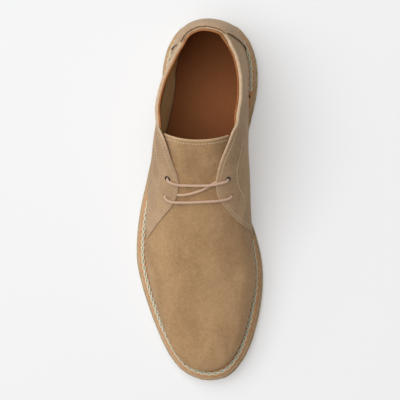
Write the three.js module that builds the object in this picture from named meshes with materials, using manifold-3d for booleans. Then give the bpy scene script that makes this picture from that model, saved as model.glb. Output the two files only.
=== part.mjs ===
// Chukka boot for a right foot, in suede on a crepe sole.
//
// Frame: millimetres, +Z up, toe towards -Y, inner (medial) side towards +X. The origin is on
// the floor under the middle of the sole. A "station" is the distance forward from the back of
// the heel, so y = SOLE_LENGTH / 2 - station.
//
// The upper is one function, wallPoint(angle, level, offset):
//   angle   goes round the boot, 0 at the heel, PI at the toe, the medial side first;
//   level   climbs the wall, -1 at the feather line, 0 at the widest place, 1 on the ridge;
//   offset  stands off the vamp's outer face, along its normal.
import * as THREE from 'three';
import Module from 'manifold-3d';

const wasm = await Module();
wasm.setup();

// ---------------------------------------------------------------- driving dimensions
const SOLE_LENGTH = 305;
const FIT_GAP = 0.35; // between pieces that meet
const OUTSOLE_THICK = 7.6;
const MIDSOLE_THICK = 3.1;
const WELT_THICK = 3.3;
const INSOLE_THICK = 2.8;
const MIDSOLE_INSET = 1.6;
const WELT_INSET = 2.8;
const WELT_LAP = 3.2; // how far the welt reaches in under the feather line
const WALL_THICK = 1.9; // vamp and lining
const QUARTER_THICK = 1.6;
const PANEL_THICK = 1.3; // heel panel, over the quarters
const LACE_RADIUS = 1.1;

const MIDSOLE_BASE = OUTSOLE_THICK + FIT_GAP;
const WELT_BASE = MIDSOLE_BASE + MIDSOLE_THICK + FIT_GAP;
const UPPER_BASE = WELT_BASE + WELT_THICK + FIT_GAP;

// The heel lift ends at its breast; its foot is drawn in a little.
const HEEL = { breast: 86, taper: 1.2 };

// The fans at heel and toe turn about these stations; sections between them are parallel.
const HEEL_HUB = 40;
const TOE_HUB = 260;

// The throat: a slot in the vamp that the tongue fills, closed by a rounded front end. The
// walls rise from the rim to the ridge between its first two stations.
const THROAT = { back: 96, full: 103, round: 140, front: 153.8, roundness: 3, steps: 9, cutFrom: 90 };
// Walls lean straight behind the first station and arch over ahead of the second.
const ARCH = { from: 80, to: 102 };
const WALL_BULGE_POWER = 1.5;
const HIGHEST_RIDGE_STATION = 90;
const LOWEST_RIDGE_STATION = 296;

const QUARTER_END = 192; // the quarters' sheets run this far, and the facings are cut from them
const BACK_SEAM = 0.006; // radians of loop angle that each quarter stops short of the back line
// The heel panel's two sides meet at middleX; its sheet runs to a station beyond its front edge.
const PANEL = { middleX: 9, sheetEnd: 42, steps: 6 };
// Cutters stand this far clear of what they cut.
const CLEAR = 20;
// Ahead of the facings everything is cut away, over this much of the boot.
const FACING_CUT = { reach: 80, from: 190, to: 320 };

// Eyelets: the upper pair are metal rings, the lower pair plain punched holes.
const EYELET = {
  bore: 1.55, barrel: 2.0, hole: 2.35, flange: 2.6, flangeThick: 0.45, bevelWidth: 0.3, bevelDepth: 0.15,
};
const PUNCHED_HOLE = 1.75;

// ---------------------------------------------------------------- sections
const named = (names, rows) => rows.map((row) => Object.fromEntries(names.map((name, i) => [name, row[i]])));

// Half-widths of the sole's outline, at each station.
const SOLE_SECTIONS = named(['station', 'lateral', 'medial'], [
  [0, 9.1, 9.1],
  [8, -15.6, 33.8],
  [20, -24.6, 43.3],
  [40, -30.4, 49.1],
  [62, -31.4, 48.8],
  [85, -33.9, 44.0],
  [110, -39.3, 38.6],
  [135, -45.1, 36.9],
  [160, -50.8, 40.5],
  [185, -53.9, 48.7],
  [205, -53.8, 53.0],
  [225, -49.6, 53.8],
  [245, -43.1, 51.6],
  [265, -35.2, 47.0],
  [280, -27.8, 41.6],
  [293, -18.4, 33.6],
  [300, -9.6, 26.4],
  [SOLE_LENGTH, 9.6, 9.6],
]);

// The feather line's x, the wall's swell beyond it, its lean inwards at the rim and the rim's
// height, lateral then medial. Ahead of the throat's back end the last two are not used.
const UPPER_SECTIONS = named(
  ['station', 'lateral', 'medial', 'swellL', 'swellM', 'leanL', 'leanM', 'rimL', 'rimM'],
  [
    [8, 9.3, 9.3, 1.0, 1.0, 11.7, 11.7, 105, 105],
    [14, -8.3, 29.3, 0.8, 1.0, 11.1, 11.8, 104.5, 104.5],
    [20, -12.9, 33.2, 0.5, 1.1, 9.7, 11.2, 103.5, 103.5],
    [26.5, -15.8, 35.5, 0.6, 1.3, 8.8, 9.5, 102, 102],
    [42, -20.4, 38.7, 1.0, 2.0, 5.6, 6.8, 98.5, 99.5],
    [62, -21.8, 39.0, 1.4, 2.0, -1.3, 3.4, 98, 100],
    [85, -26.5, 36.6, 1.4, 4.4, -0.1, 6.8, 104, 106],
    [110, -33.2, 34.0, 0.3, 7.0, 9, 11, 116, 118],
    [135, -37.5, 33.6, 0.4, 8.4, 9, 11, 116, 118],
    [160, -39.8, 36.8, 0.6, 5.8, 9, 11, 116, 118],
    [182, -42.2, 42.0, 1.0, 2.0, 9, 11, 116, 118],
    [197, -42.8, 44.9, 1.2, 1.3, 9, 11, 116, 118],
    [211, -41.3, 46.8, 1.2, 1.2, 9, 11, 116, 118],
    [224, -38.8, 46.4, 1.2, 1.2, 9, 11, 116, 118],
    [240, -34.6, 43.4, 1.2, 1.2, 9, 11, 116, 118],
    [262, -27.0, 38.4, 1.2, 1.2, 9, 11, 116, 118],
    [276, -20.6, 32.7, 1.2, 1.2, 9, 11, 116, 118],
    [289, -9.2, 22.3, 1.2, 1.2, 9, 11, 116, 118],
    [293.8, 5.8, 5.8, 1.2, 1.2, 9, 11, 116, 118],
  ],
);

// Along the middle: the outsole's underside over the floor.
const UNDERSIDE = named(['station', 'height'], [
  [0, 12.2], [60, 12.2], [85, 11.4], [112, 6.8], [140, 2], [165, 0], [212, 0], [240, 1.3], [270, 5],
  [305, 11.5],
]);
const AXIS = named(['station', 'x'], [
  [40, 8.6], [62, 7.2], [85, 4.8], [110, 3.4], [140, 2.8], [180, 1.6], [220, 3.2], [260, 5.6],
]);
const RIDGE = named(['station', 'height'], [
  [90, 142], [107, 126.5], [120, 115.5], [140, 99.5], [160, 85.5], [180, 74], [200, 65], [220, 57.5],
  [240, 52], [260, 47.5], [280, 45], [296, 43],
]);
// Height of the widest place over the feather line.
const WIDEST = named(['station', 'height'], [
  [8, 22], [42, 22], [85, 24], [135, 24], [185, 16], [220, 12], [262, 10], [294, 9],
]);
// Fullness of the arch: 2 is a plain ellipse, more is squarer.
const FULLNESS = named(['station', 'power'], [
  [88, 3.1], [100, 2.85], [120, 2.55], [140, 2.4], [180, 2.2], [220, 2.15], [260, 2.2],
]);
// Seen from above: the facings' edges over the throat and down to the welt, the tongue's sides,
// and the sides of the slot in the vamp.
const FACING_EDGES = named(['station', 'lateral', 'medial'], [
  [90, -28.5, 33.4],
  [96, -26.1, 33.0],
  [102, -23.1, 31.0],
  [108, -20.6, 28.7],
  [114, -18.6, 26.0],
  [121, -16.6, 22.9],
  [128, -14.2, 20.6],
  [134, -12.2, 19.0],
  [138.5, -11.3, 18.2],
  [142, -11.5, 18.1],
  [147, -12.3, 18.8],
  [151, -13.6, 20.0],
  [156, -16.6, 22.8],
  [161, -20.9, 26.8],
  [166, -25.6, 30.8],
  [172, -31.0, 37.2],
  [178, -35.8, 44.4],
  [184, -43.0, 56.0],
  [187, -50.0, 66.0],
]);
const SLOT_EDGES = named(['station', 'lateral', 'medial'], [
  [90, -28.4, 34.8], [104, -27.9, 34.3], [112, -27.8, 34.4], [125, -28, 34.6], [140, -28.6, 35.2],
]);
const TONGUE_EDGES = named(['station', 'lateral', 'medial'], [
  [100, -21.2, 27.9], [104, -22.6, 29.0], [112, -25, 31.6], [125, -27.2, 33.6], [140, -28.2, 34.8],
]);
// The tongue's top edge dips towards the toe in the middle.
const TONGUE_TOP = { station: 107.6, dip: 5.4, skew: 0.8, middleX: 3.5, lateral: -21.4, medial: 28.2 };
const TONGUE = { cutFrom: 102, sheetFrom: 97, sheetTo: 165, topSteps: 8 };
// The heel panel's front edge, seen from the side: its station from the foot up to the top.
const PANEL_SEAM = named(['height', 'lateral', 'medial'], [
  [UPPER_BASE, 28.2, 28.8], [64, 28.8, 26.6], [108, 29.8, 21.8],
]);

// Places of the eyelets on the wall, seen from above.
const UPPER_EYELETS = { lateral: { x: -19.1, station: 135.0 }, medial: { x: 26.3, station: 135.6 } };
const LOWER_EYELETS = { lateral: { x: -22.0, station: 148.4 }, medial: { x: 28.9, station: 148.6 } };

// ---------------------------------------------------------------- materials
const finish = (name, color, roughness, metalness = 0) =>
  Object.assign(new THREE.MeshStandardMaterial({ color, roughness, metalness }), { name });
const SUEDE = finish('suede', '#aa8c68', 0.95);
const CREPE = finish('crepe', '#9c8464', 0.85);
const MIDSOLE_LEATHER = finish('midsole_leather', '#c8a888', 0.7);
const WELT_LEATHER = finish('welt_leather', '#c8955c', 0.6);
const INSOLE_LEATHER = finish('insole_leather', '#5a3520', 0.5);
const DARK_METAL = finish('dark_metal', '#33302c', 0.45, 0.9);
const LACE_CORD = finish('lace_cord', '#c4a48c', 0.8);

// ---------------------------------------------------------------- curves
const evenly = (from, to, steps) =>
  Array.from({ length: steps + 1 }, (_, i) => from + (to - from) * i / steps);
const smoothStep = (from, to, value) => THREE.MathUtils.smoothstep(value, from, to);

// A smooth curve through (xs, ys); with a period it closes on itself.
function curveThrough(xs, ys, period = 0) {
  const x = period ? [xs.at(-1) - period, ...xs, xs[0] + period, xs[1] + period] : xs;
  const y = period ? [ys.at(-1), ...ys, ys[0], ys[1]] : ys;
  const span = x.slice(1).map((value, i) => value - x[i]);
  const rise = y.slice(1).map((value, i) => (value - y[i]) / span[i]);
  const slope = x.map((_, i) => {
    if (i === 0) return rise[0];
    if (i === x.length - 1) return rise.at(-1);
    return (rise[i - 1] * span[i] + rise[i] * span[i - 1]) / (span[i - 1] + span[i]);
  });
  return (value) => {
    const at = period ? THREE.MathUtils.euclideanModulo(value - xs[0], period) + xs[0]
      : THREE.MathUtils.clamp(value, x[0], x.at(-1));
    let i = 0;
    while (i < span.length - 1 && at > x[i + 1]) i += 1;
    const t = (at - x[i]) / span[i];
    const a = (1 + 2 * t) * (1 - t) ** 2;
    const b = t * (1 - t) ** 2;
    const c = t * t * (3 - 2 * t);
    const d = t * t * (t - 1);
    return a * y[i] + b * span[i] * slope[i] + c * y[i + 1] + d * span[i] * slope[i + 1];
  };
}

const column = (rows, name) => rows.map((row) => row[name]);
const along = (rows, name) => curveThrough(column(rows, 'station'), column(rows, name));

const undersideCurve = along(UNDERSIDE, 'height');
// The forefoot stands flat where the curve meets the floor.
const underside = (station) => Math.max(0, undersideCurve(station));
const axisX = along(AXIS, 'x');
const ridgeCurve = along(RIDGE, 'height');
const ridge = (station) =>
  ridgeCurve(THREE.MathUtils.clamp(station, HIGHEST_RIDGE_STATION, LOWEST_RIDGE_STATION));
const widest = along(WIDEST, 'height');
const fullness = along(FULLNESS, 'power');

// A closed outline round the boot, from a table with a lateral and a medial value per station.
class Outline {
  constructor(rows, lateral = 'lateral', medial = 'medial') {
    this.first = rows[0].station;
    this.last = rows.at(-1).station;
    const angles = rows.map((row) => this.angleAt(row.station));
    const back = rows.slice(1, -1).reverse();
    const backAngles = back.map((row) => 2 * Math.PI - this.angleAt(row.station));
    this.value = curveThrough(
      [...angles, ...backAngles],
      [...column(rows, medial), ...column(back, lateral)],
      2 * Math.PI,
    );
  }

  angleAt(station) {
    const share = (station - this.first) / (this.last - this.first);
    return Math.acos(THREE.MathUtils.clamp(1 - 2 * share, -1, 1));
  }

  stationAt(angle) {
    return this.first + (this.last - this.first) * (1 - Math.cos(angle)) / 2;
  }

  // The ray from the middle line out to the outline: its foot, direction and length.
  ray(angle) {
    const station = this.stationAt(angle);
    const hub = THREE.MathUtils.clamp(station, HEEL_HUB, TOE_HUB);
    const foot = new THREE.Vector2(axisX(hub), hub);
    const arm = new THREE.Vector2(this.value(angle), station).sub(foot);
    const length = arm.length();
    return { foot, direction: arm.divideScalar(length), length, hub };
  }

  inset(angle, amount) {
    const { foot, direction, length } = this.ray(angle);
    return foot.clone().addScaledVector(direction, length - amount);
  }
}

const soleOutline = new Outline(SOLE_SECTIONS);
const feather = new Outline(UPPER_SECTIONS);
const swell = new Outline(UPPER_SECTIONS, 'swellL', 'swellM');
const lean = new Outline(UPPER_SECTIONS, 'leanL', 'leanM');
const rimHeight = new Outline(UPPER_SECTIONS, 'rimL', 'rimM');

// ---------------------------------------------------------------- the upper's form
const toBoot = (x, station, z) => new THREE.Vector3(x, SOLE_LENGTH / 2 - station, z);

// The vamp's outer face.
function facePoint(angle, level) {
  const { foot, direction, length, hub } = feather.ray(angle);
  const bottom = underside(feather.stationAt(angle)) + UPPER_BASE;
  const middle = bottom + widest(hub);
  const full = length + swell.value(angle);
  const pointAt = (reach, height) =>
    toBoot(foot.x + direction.x * reach, foot.y + direction.y * reach, height);
  if (level <= 0) {
    return pointAt(length + (full - length) * (1 - level * level), middle + level * (middle - bottom));
  }
  const power = 2 / fullness(hub);
  const turn = level * Math.PI / 2;
  const arched = full * Math.cos(turn) ** power;
  const top = ridge(THREE.MathUtils.clamp(foot.y + direction.y * arched, 0, SOLE_LENGTH));
  const height = middle + (top - middle) * Math.sin(turn) ** power;
  const climb = Math.max(0, (height - middle) / (rimHeight.value(angle) - middle));
  const leaning = full - lean.value(angle) * climb ** WALL_BULGE_POWER;
  const arching = smoothStep(ARCH.from, ARCH.to, feather.stationAt(angle));
  return pointAt(THREE.MathUtils.lerp(leaning, arched, arching), height);
}

// On the ridge the two sides share one normal, square to the ridge line.
function ridgeNormal(angle) {
  const hub = feather.ray(angle).hub;
  return new THREE.Vector3(0, ridge(hub + 1) - ridge(hub - 1), 2).normalize();
}

function wallPoint(angle, level, offset) {
  const point = facePoint(angle, level);
  if (level > 0.999) return point.addScaledVector(ridgeNormal(angle), offset);
  const step = 0.002;
  const round = facePoint(angle + step, level).sub(facePoint(angle - step, level));
  const lowLevel = Math.max(-1, level - step);
  const up = facePoint(angle, Math.min(0.9995, level + step)).sub(facePoint(angle, lowLevel));
  const normal = up.cross(round).normalize();
  // Near the feather line the offset is level, so every layer stands on the welt.
  const upright = smoothStep(-1, -0.3, level);
  normal.z *= normal.z < 0 ? upright : 1;
  return point.addScaledVector(normal.normalize(), offset);
}

// The loop angle and level under a plan position on the arched part of the upper.
function placeOver(x, station) {
  const angle = feather.angleAt(station);
  const side = x >= axisX(station) ? angle : 2 * Math.PI - angle;
  const full = feather.ray(side).length + swell.value(side);
  const share = THREE.MathUtils.clamp(Math.abs(x - axisX(station)) / full, 0, 1);
  return { angle: side, level: Math.acos(share ** (fullness(station) / 2)) * 2 / Math.PI };
}

const pointOver = (x, station, offset) => {
  const place = placeOver(x, station);
  return wallPoint(place.angle, place.level, offset);
};

function rimLevel(angle) {
  const { hub } = feather.ray(angle);
  const middle = underside(feather.stationAt(angle)) + UPPER_BASE + widest(hub);
  const climb = (rimHeight.value(angle) - middle) / (ridge(hub) - middle);
  return Math.asin(Math.min(1, climb) ** (fullness(hub) / 2)) * 2 / Math.PI;
}

// How far up a wall is built: to the rim behind the throat, and over to the ridge beside it.
function wallTop(angle) {
  const station = feather.stationAt(angle);
  const rise = smoothStep(THROAT.back, THROAT.full, station);
  return rise >= 1 ? 1 : THREE.MathUtils.lerp(rimLevel(angle), 1, rise);
}

// ---------------------------------------------------------------- solids from grids
// Joins equal corners, drops faces without area and turns every face outwards.
function closedGeometry(corners, faces) {
  const seen = new Map();
  const kept = [];
  const index = corners.map((corner) => {
    const key = corner.toArray().map((value) => Math.round(value * 2000)).join();
    if (!seen.has(key)) {
      seen.set(key, kept.length);
      kept.push(corner);
    }
    return seen.get(key);
  });
  let triangles = faces.map((face) => face.map((i) => index[i]));
  triangles = triangles.filter(([a, b, c]) => a !== b && b !== c && c !== a);
  const volume = triangles.reduce(
    (sum, [a, b, c]) => sum + kept[a].dot(kept[b].clone().cross(kept[c])), 0);
  if (volume < 0) triangles = triangles.map(([a, b, c]) => [a, c, b]);
  const geometry = new THREE.BufferGeometry().setFromPoints(kept);
  geometry.setIndex(triangles.flat());
  return geometry;
}

const quad = (a, b, c, d) => [[a, b, c], [a, c, d]];

// A sheet with thickness: outer(i, j) and inner(i, j) over a grid. A sheet can run on from its
// last column to its first, and a top edge where sealed(i) holds has no rim.
function sheetGeometry({ columns, rows, outer, inner, closed = false, sealed = () => false }) {
  const corners = [];
  for (const face of [outer, inner]) {
    for (let i = 0; i < columns; i += 1) {
      for (let j = 0; j < rows; j += 1) corners.push(face(i, j));
    }
  }
  const at = (face, i, j) => (face * columns + i % columns) * rows + j;
  const faces = [];
  const last = rows - 1;
  for (let i = 0; i < (closed ? columns : columns - 1); i += 1) {
    for (let j = 0; j < last; j += 1) {
      faces.push(...quad(at(0, i, j), at(0, i + 1, j), at(0, i + 1, j + 1), at(0, i, j + 1)));
      faces.push(...quad(at(1, i, j), at(1, i, j + 1), at(1, i + 1, j + 1), at(1, i + 1, j)));
    }
    faces.push(...quad(at(0, i, 0), at(1, i, 0), at(1, i + 1, 0), at(0, i + 1, 0)));
    if (sealed(i)) continue;
    faces.push(...quad(at(0, i, last), at(0, i + 1, last), at(1, i + 1, last), at(1, i, last)));
  }
  for (let j = 0; j < (closed ? 0 : last); j += 1) {
    const end = columns - 1;
    faces.push(...quad(at(0, 0, j), at(0, 0, j + 1), at(1, 0, j + 1), at(1, 0, j)));
    faces.push(...quad(at(0, end, j), at(1, end, j), at(1, end, j + 1), at(0, end, j + 1)));
  }
  return closedGeometry(corners, faces);
}

// A plate: its edge climbs through the tiers, each with an outline(angle) and a height(station).
// It runs from the heel to lastAngle, and is capped by strips across, below and above.
function plateGeometry(angles, tiers) {
  const corners = [];
  for (const { outline, height } of tiers) {
    for (const side of [1, -1]) {
      for (const angle of angles) {
        const point = outline(side > 0 ? angle : 2 * Math.PI - angle);
        corners.push(toBoot(point.x, point.y, height(point.y)));
      }
    }
  }
  const count = angles.length;
  const at = (tier, side, i) => (tier * 2 + side) * count + i;
  const faces = [];
  const lastTier = tiers.length - 1;
  for (let i = 0; i < count - 1; i += 1) {
    for (let tier = 0; tier < lastTier; tier += 1) {
      faces.push(...quad(at(tier, 0, i), at(tier, 0, i + 1), at(tier + 1, 0, i + 1), at(tier + 1, 0, i)));
      faces.push(...quad(at(tier, 1, i + 1), at(tier, 1, i), at(tier + 1, 1, i), at(tier + 1, 1, i + 1)));
    }
    faces.push(...quad(at(0, 0, i), at(0, 1, i), at(0, 1, i + 1), at(0, 0, i + 1)));
    faces.push(...quad(
      at(lastTier, 0, i), at(lastTier, 0, i + 1), at(lastTier, 1, i + 1), at(lastTier, 1, i)));
  }
  for (let tier = 0; tier < lastTier; tier += 1) {
    const end = count - 1;
    faces.push(...quad(at(tier, 0, end), at(tier, 1, end), at(tier + 1, 1, end), at(tier + 1, 0, end)));
  }
  return closedGeometry(corners, faces);
}

// A ring: the same tiers, closed from the last back to the first.
function ringGeometry(angles, tiers) {
  const loop = [...tiers, tiers[0]];
  const face = (i, j) => {
    const point = loop[j].outline(angles[i]);
    return toBoot(point.x, point.y, loop[j].height(point.y));
  };
  const corners = angles.flatMap((_, i) => loop.map((__, j) => face(i, j)));
  const at = (i, j) => (i % angles.length) * loop.length + j;
  const faces = angles.flatMap((_, i) => tiers.flatMap((__, j) =>
    quad(at(i, j), at(i + 1, j), at(i + 1, j + 1), at(i, j + 1))));
  return closedGeometry(corners, faces);
}

// ---------------------------------------------------------------- joins and cuts
const solidOf = (geometry) => new wasm.Manifold(new wasm.Mesh({
  numProp: 3,
  vertProperties: new Float32Array(geometry.attributes.position.array),
  triVerts: new Uint32Array(geometry.index.array),
}));

function geometryOf(solid) {
  const { vertProperties, triVerts } = solid.getMesh();
  const geometry = new THREE.BufferGeometry();
  geometry.setAttribute('position', new THREE.BufferAttribute(vertProperties, 3));
  geometry.setIndex(new THREE.BufferAttribute(triVerts, 1));
  return geometry;
}

// A three.js geometry with its doubled corners joined.
function welded(geometry) {
  const { position } = geometry.attributes;
  const corners = Array.from(
    { length: position.count }, (_, i) => new THREE.Vector3().fromBufferAttribute(position, i));
  const order = geometry.index ? Array.from(geometry.index.array) : corners.map((_, i) => i);
  const faces = Array.from({ length: order.length / 3 }, (_, i) => order.slice(3 * i, 3 * i + 3));
  return closedGeometry(corners, faces);
}

// A prism with a flat outline of [across, along] points, long enough to pass through the boot.
function prism(outline) {
  const LONG = 400;
  const shape = new THREE.Shape(outline.map(([across, along]) => new THREE.Vector2(across, along)));
  const geometry = new THREE.ExtrudeGeometry(shape, { depth: LONG, bevelEnabled: false });
  return welded(geometry).translate(0, 0, -LONG / 2);
}

// Prisms with an outline seen from above, and seen from the inner side.
const plumbCutter = (outline) =>
  solidOf(prism(outline.map(([x, station]) => [x, SOLE_LENGTH / 2 - station])));
const sideCutter = (outline) => solidOf(
  prism(outline.map(([station, z]) => [SOLE_LENGTH / 2 - station, z]))
    .rotateX(Math.PI / 2)
    .rotateZ(Math.PI / 2),
);

// ---------------------------------------------------------------- grids round the boot
const HALF_COLUMNS = 38;
const halfAngles = evenly(0, Math.PI, HALF_COLUMNS);
const mirrored = (angles) => angles.map((angle) => 2 * Math.PI - angle).reverse();
const loopOf = (half) => [...half, ...mirrored(half.slice(1, -1))];
const upTo = (station) => (angle) => angle <= feather.angleAt(station);

// The upper's columns: even ones, and closer ones where the wall rises beside the throat.
const RISE_STATIONS = [THROAT.back, 99, 101, THROAT.full];
const CLOSEST_COLUMNS = 0.03;
const riseAngles = RISE_STATIONS.map((station) => feather.angleAt(station));
const upperHalf = [
  ...halfAngles.filter((angle) => riseAngles.every((rise) => Math.abs(rise - angle) > CLOSEST_COLUMNS)),
  ...riseAngles,
].sort((a, b) => a - b);

const LEVELS = [-1, -0.72, -0.4, 0, 0.1, 0.21, 0.32, 0.43, 0.55, 0.68, 0.83, 1];
const CLOSEST_LEVELS = 0.03;
// A row's level in a column that stops at a top: rows beyond it, or just short of it, end there.
const levelUnder = (top, j) => (LEVELS[j] > top - CLOSEST_LEVELS ? top : LEVELS[j]);

// A sheet of the upper between two offsets, over a run of columns.
function wallSheet(angles, inner, outer, closed = false) {
  const tops = angles.map(wallTop);
  const face = (offset) => (i, j) => wallPoint(angles[i], levelUnder(tops[i], j), offset);
  return solidOf(sheetGeometry({
    columns: angles.length,
    rows: LEVELS.length,
    outer: face(outer),
    inner: face(inner),
    closed,
    sealed: (i) => closed && tops[i] >= 1 && tops[(i + 1) % tops.length] >= 1,
  }));
}

// ---------------------------------------------------------------- pieces
const boot = new THREE.Group();

function addPiece(name, geometry, material) {
  const mesh = new THREE.Mesh(geometry, material);
  mesh.name = name;
  boot.add(mesh);
  return mesh;
}

function addSole() {
  const tier = (shape, inset, rise) => ({
    outline: (angle) => shape.inset(angle, inset),
    height: (station) => underside(station) + rise,
  });
  const outsole = [tier(soleOutline, 0, 0), tier(soleOutline, 0, OUTSOLE_THICK)];
  addPiece('outsole', plateGeometry(halfAngles, outsole), CREPE);

  const midsole = [
    tier(soleOutline, MIDSOLE_INSET, MIDSOLE_BASE),
    tier(soleOutline, MIDSOLE_INSET, MIDSOLE_BASE + MIDSOLE_THICK),
  ];
  addPiece('midsole', plateGeometry(halfAngles, midsole), MIDSOLE_LEATHER);

  const welt = [
    tier(soleOutline, WELT_INSET, WELT_BASE),
    tier(soleOutline, WELT_INSET, WELT_BASE + WELT_THICK),
    tier(feather, WELT_LAP, WELT_BASE + WELT_THICK),
    tier(feather, WELT_LAP, WELT_BASE),
  ];
  addPiece('welt', ringGeometry(loopOf(halfAngles), welt), WELT_LEATHER);

  // The insole's lower half fills the welt's ring, its upper half the bottom of the upper.
  const insole = [
    tier(feather, WELT_LAP + FIT_GAP, WELT_BASE),
    tier(feather, WELT_LAP + FIT_GAP, UPPER_BASE),
    tier(feather, WALL_THICK + FIT_GAP, UPPER_BASE),
    tier(feather, WALL_THICK + FIT_GAP, UPPER_BASE + INSOLE_THICK),
  ];
  addPiece('insole', plateGeometry(halfAngles, insole), INSOLE_LEATHER);

  const breastAngle = soleOutline.angleAt(HEEL.breast);
  const heelAngles = [...halfAngles.filter((angle) => angle < breastAngle - CLOSEST_COLUMNS), breastAngle];
  const heel = [
    { outline: (angle) => soleOutline.inset(angle, HEEL.taper), height: () => 0 },
    { outline: (angle) => soleOutline.inset(angle, 0), height: (station) => underside(station) - FIT_GAP },
  ];
  addPiece('heel', plateGeometry(heelAngles, heel), CREPE);
}

const edgeLine = (rows, side, stations) => {
  const edge = along(rows, side);
  return stations.map((station) => [edge(station), station]);
};

// The outline, from above, of a slot with a rounded front end: two sides and an arch across.
function slotOutline(edges, back, front, backPoints = []) {
  const sides = evenly(back, THROAT.round, THROAT.steps);
  const lateral = edgeLine(edges, 'lateral', sides);
  const medial = edgeLine(edges, 'medial', sides);
  const arch = evenly(-1, 1, 2 * THROAT.steps).slice(1, -1).map((turn) => {
    const share = Math.sin(turn * Math.PI / 2);
    const depth = (1 - Math.abs(share) ** THROAT.roundness) ** (1 / THROAT.roundness);
    const middle = axisX(THROAT.round);
    const edge = share < 0 ? lateral.at(-1)[0] : medial.at(-1)[0];
    const across = THREE.MathUtils.lerp(middle, edge, Math.abs(share));
    return [across, THREE.MathUtils.lerp(THROAT.round, front, depth)];
  });
  return [...lateral, ...arch, ...medial.reverse(), ...backPoints];
}

function addUpper() {
  const slot = slotOutline(SLOT_EDGES, THROAT.cutFrom, THROAT.front);
  const shell = wallSheet(loopOf(upperHalf), -WALL_THICK, 0, true);
  addPiece('upper', geometryOf(shell.subtract(plumbCutter(slot))), SUEDE);
}

// A round cutter that stands square to the wall at a plan position.
function punch({ x, station }, radius) {
  const DEPTH = 12;
  const { centre, out } = standOn(x, station);
  const geometry = new THREE.CylinderGeometry(radius, radius, DEPTH, 16);
  geometry.applyQuaternion(new THREE.Quaternion().setFromUnitVectors(new THREE.Vector3(0, 1, 0), out));
  geometry.translate(...centre.toArray());
  return solidOf(welded(geometry));
}

function addQuarters() {
  const stations = FACING_EDGES.slice(0, -1).flatMap(({ station }, i) =>
    evenly(station, FACING_EDGES[i + 1].station, 2).slice(0, 2));
  const { reach, from, to } = FACING_CUT;
  const beyond = [[-reach, from], [-reach, to], [reach, to], [reach, from]];
  const throat = plumbCutter([
    ...edgeLine(FACING_EDGES, 'lateral', stations),
    ...beyond,
    ...edgeLine(FACING_EDGES, 'medial', stations).reverse(),
  ]);
  const half = [BACK_SEAM, ...upperHalf.slice(1).filter(upTo(QUARTER_END))];
  for (const [side, angles] of Object.entries({ medial: half, lateral: mirrored(half) })) {
    const quarter = wallSheet(angles, FIT_GAP, FIT_GAP + QUARTER_THICK)
      .subtract(throat)
      .subtract(punch(UPPER_EYELETS[side], EYELET.hole))
      .subtract(punch(LOWER_EYELETS[side], PUNCHED_HOLE));
    addPiece(`quarter_${side}`, geometryOf(quarter), SUEDE);
  }
}

function addHeelPanel() {
  const base = 2 * FIT_GAP + QUARTER_THICK;
  const half = upperHalf.filter(upTo(PANEL.sheetEnd));
  const sheet = wallSheet([...mirrored(half.slice(1)), ...half], base, base + PANEL_THICK);
  const behind = (side) => {
    const seam = curveThrough(column(PANEL_SEAM, 'height'), column(PANEL_SEAM, side));
    const [foot, top] = [UPPER_BASE - CLEAR, PANEL_SEAM.at(-1).height];
    const edge = evenly(UPPER_BASE, top, PANEL.steps).map((height) => [seam(height), height]);
    return sideCutter([[-CLEAR, foot], [seam(UPPER_BASE), foot], ...edge, [-CLEAR, top]]);
  };
  const medial = sheet.intersect(behind('medial')).trimByPlane([1, 0, 0], PANEL.middleX);
  const lateral = sheet.intersect(behind('lateral')).trimByPlane([-1, 0, 0], -PANEL.middleX);
  addPiece('heel_panel', geometryOf(medial.add(lateral)), SUEDE);
}

// The tongue runs on from the vamp at the same height, between and beneath the facings.
function addTongue() {
  const angles = upperHalf.filter((angle) =>
    angle >= feather.angleAt(TONGUE.sheetFrom) && angle <= feather.angleAt(TONGUE.sheetTo));
  const climb = LEVELS.filter((level) => level > 0);
  const levels = [...climb, ...climb.slice(0, -1).reverse()];
  const face = (offset) => (i, j) =>
    wallPoint(j < climb.length ? 2 * Math.PI - angles[i] : angles[i], levels[j], offset);
  const saddle = solidOf(sheetGeometry({
    columns: angles.length,
    rows: levels.length,
    outer: face(0),
    inner: face(-WALL_THICK),
  }));
  const { station, dip, skew, middleX, lateral, medial } = TONGUE_TOP;
  const top = evenly(1, -1, TONGUE.topSteps).slice(1, -1).map((share) => [
    THREE.MathUtils.lerp(middleX, share > 0 ? medial : lateral, Math.abs(share)),
    station - dip * share * share + skew * share,
  ]);
  const outline = slotOutline(TONGUE_EDGES, TONGUE.cutFrom, THROAT.front - FIT_GAP, top);
  addPiece('tongue', geometryOf(saddle.intersect(plumbCutter(outline))), SUEDE);
}

// A point on the vamp under a plan position, and the way out from it.
function standOn(x, station) {
  const centre = pointOver(x, station, 0);
  return { centre, out: pointOver(x, station, 1).sub(centre) };
}

function addEyelets() {
  const seat = FIT_GAP + QUARTER_THICK;
  const top = seat + FIT_GAP + EYELET.flangeThick;
  const profile = [
    [EYELET.bore, FIT_GAP],
    [EYELET.barrel, FIT_GAP],
    [EYELET.barrel, seat + FIT_GAP],
    [EYELET.flange, seat + FIT_GAP],
    [EYELET.flange, top - EYELET.bevelDepth],
    [EYELET.flange - EYELET.bevelWidth, top],
    [EYELET.bore, top],
    [EYELET.bore, FIT_GAP],
  ].map(([radius, height]) => new THREE.Vector2(radius, height));
  for (const [side, { x, station }] of Object.entries(UPPER_EYELETS)) {
    const { centre, out } = standOn(x, station);
    const ring = addPiece(`eyelet_${side}`, welded(new THREE.LatheGeometry(profile, 16)), DARK_METAL);
    ring.position.copy(centre);
    ring.quaternion.setFromUnitVectors(new THREE.Vector3(0, 1, 0), out);
  }
}

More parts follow.
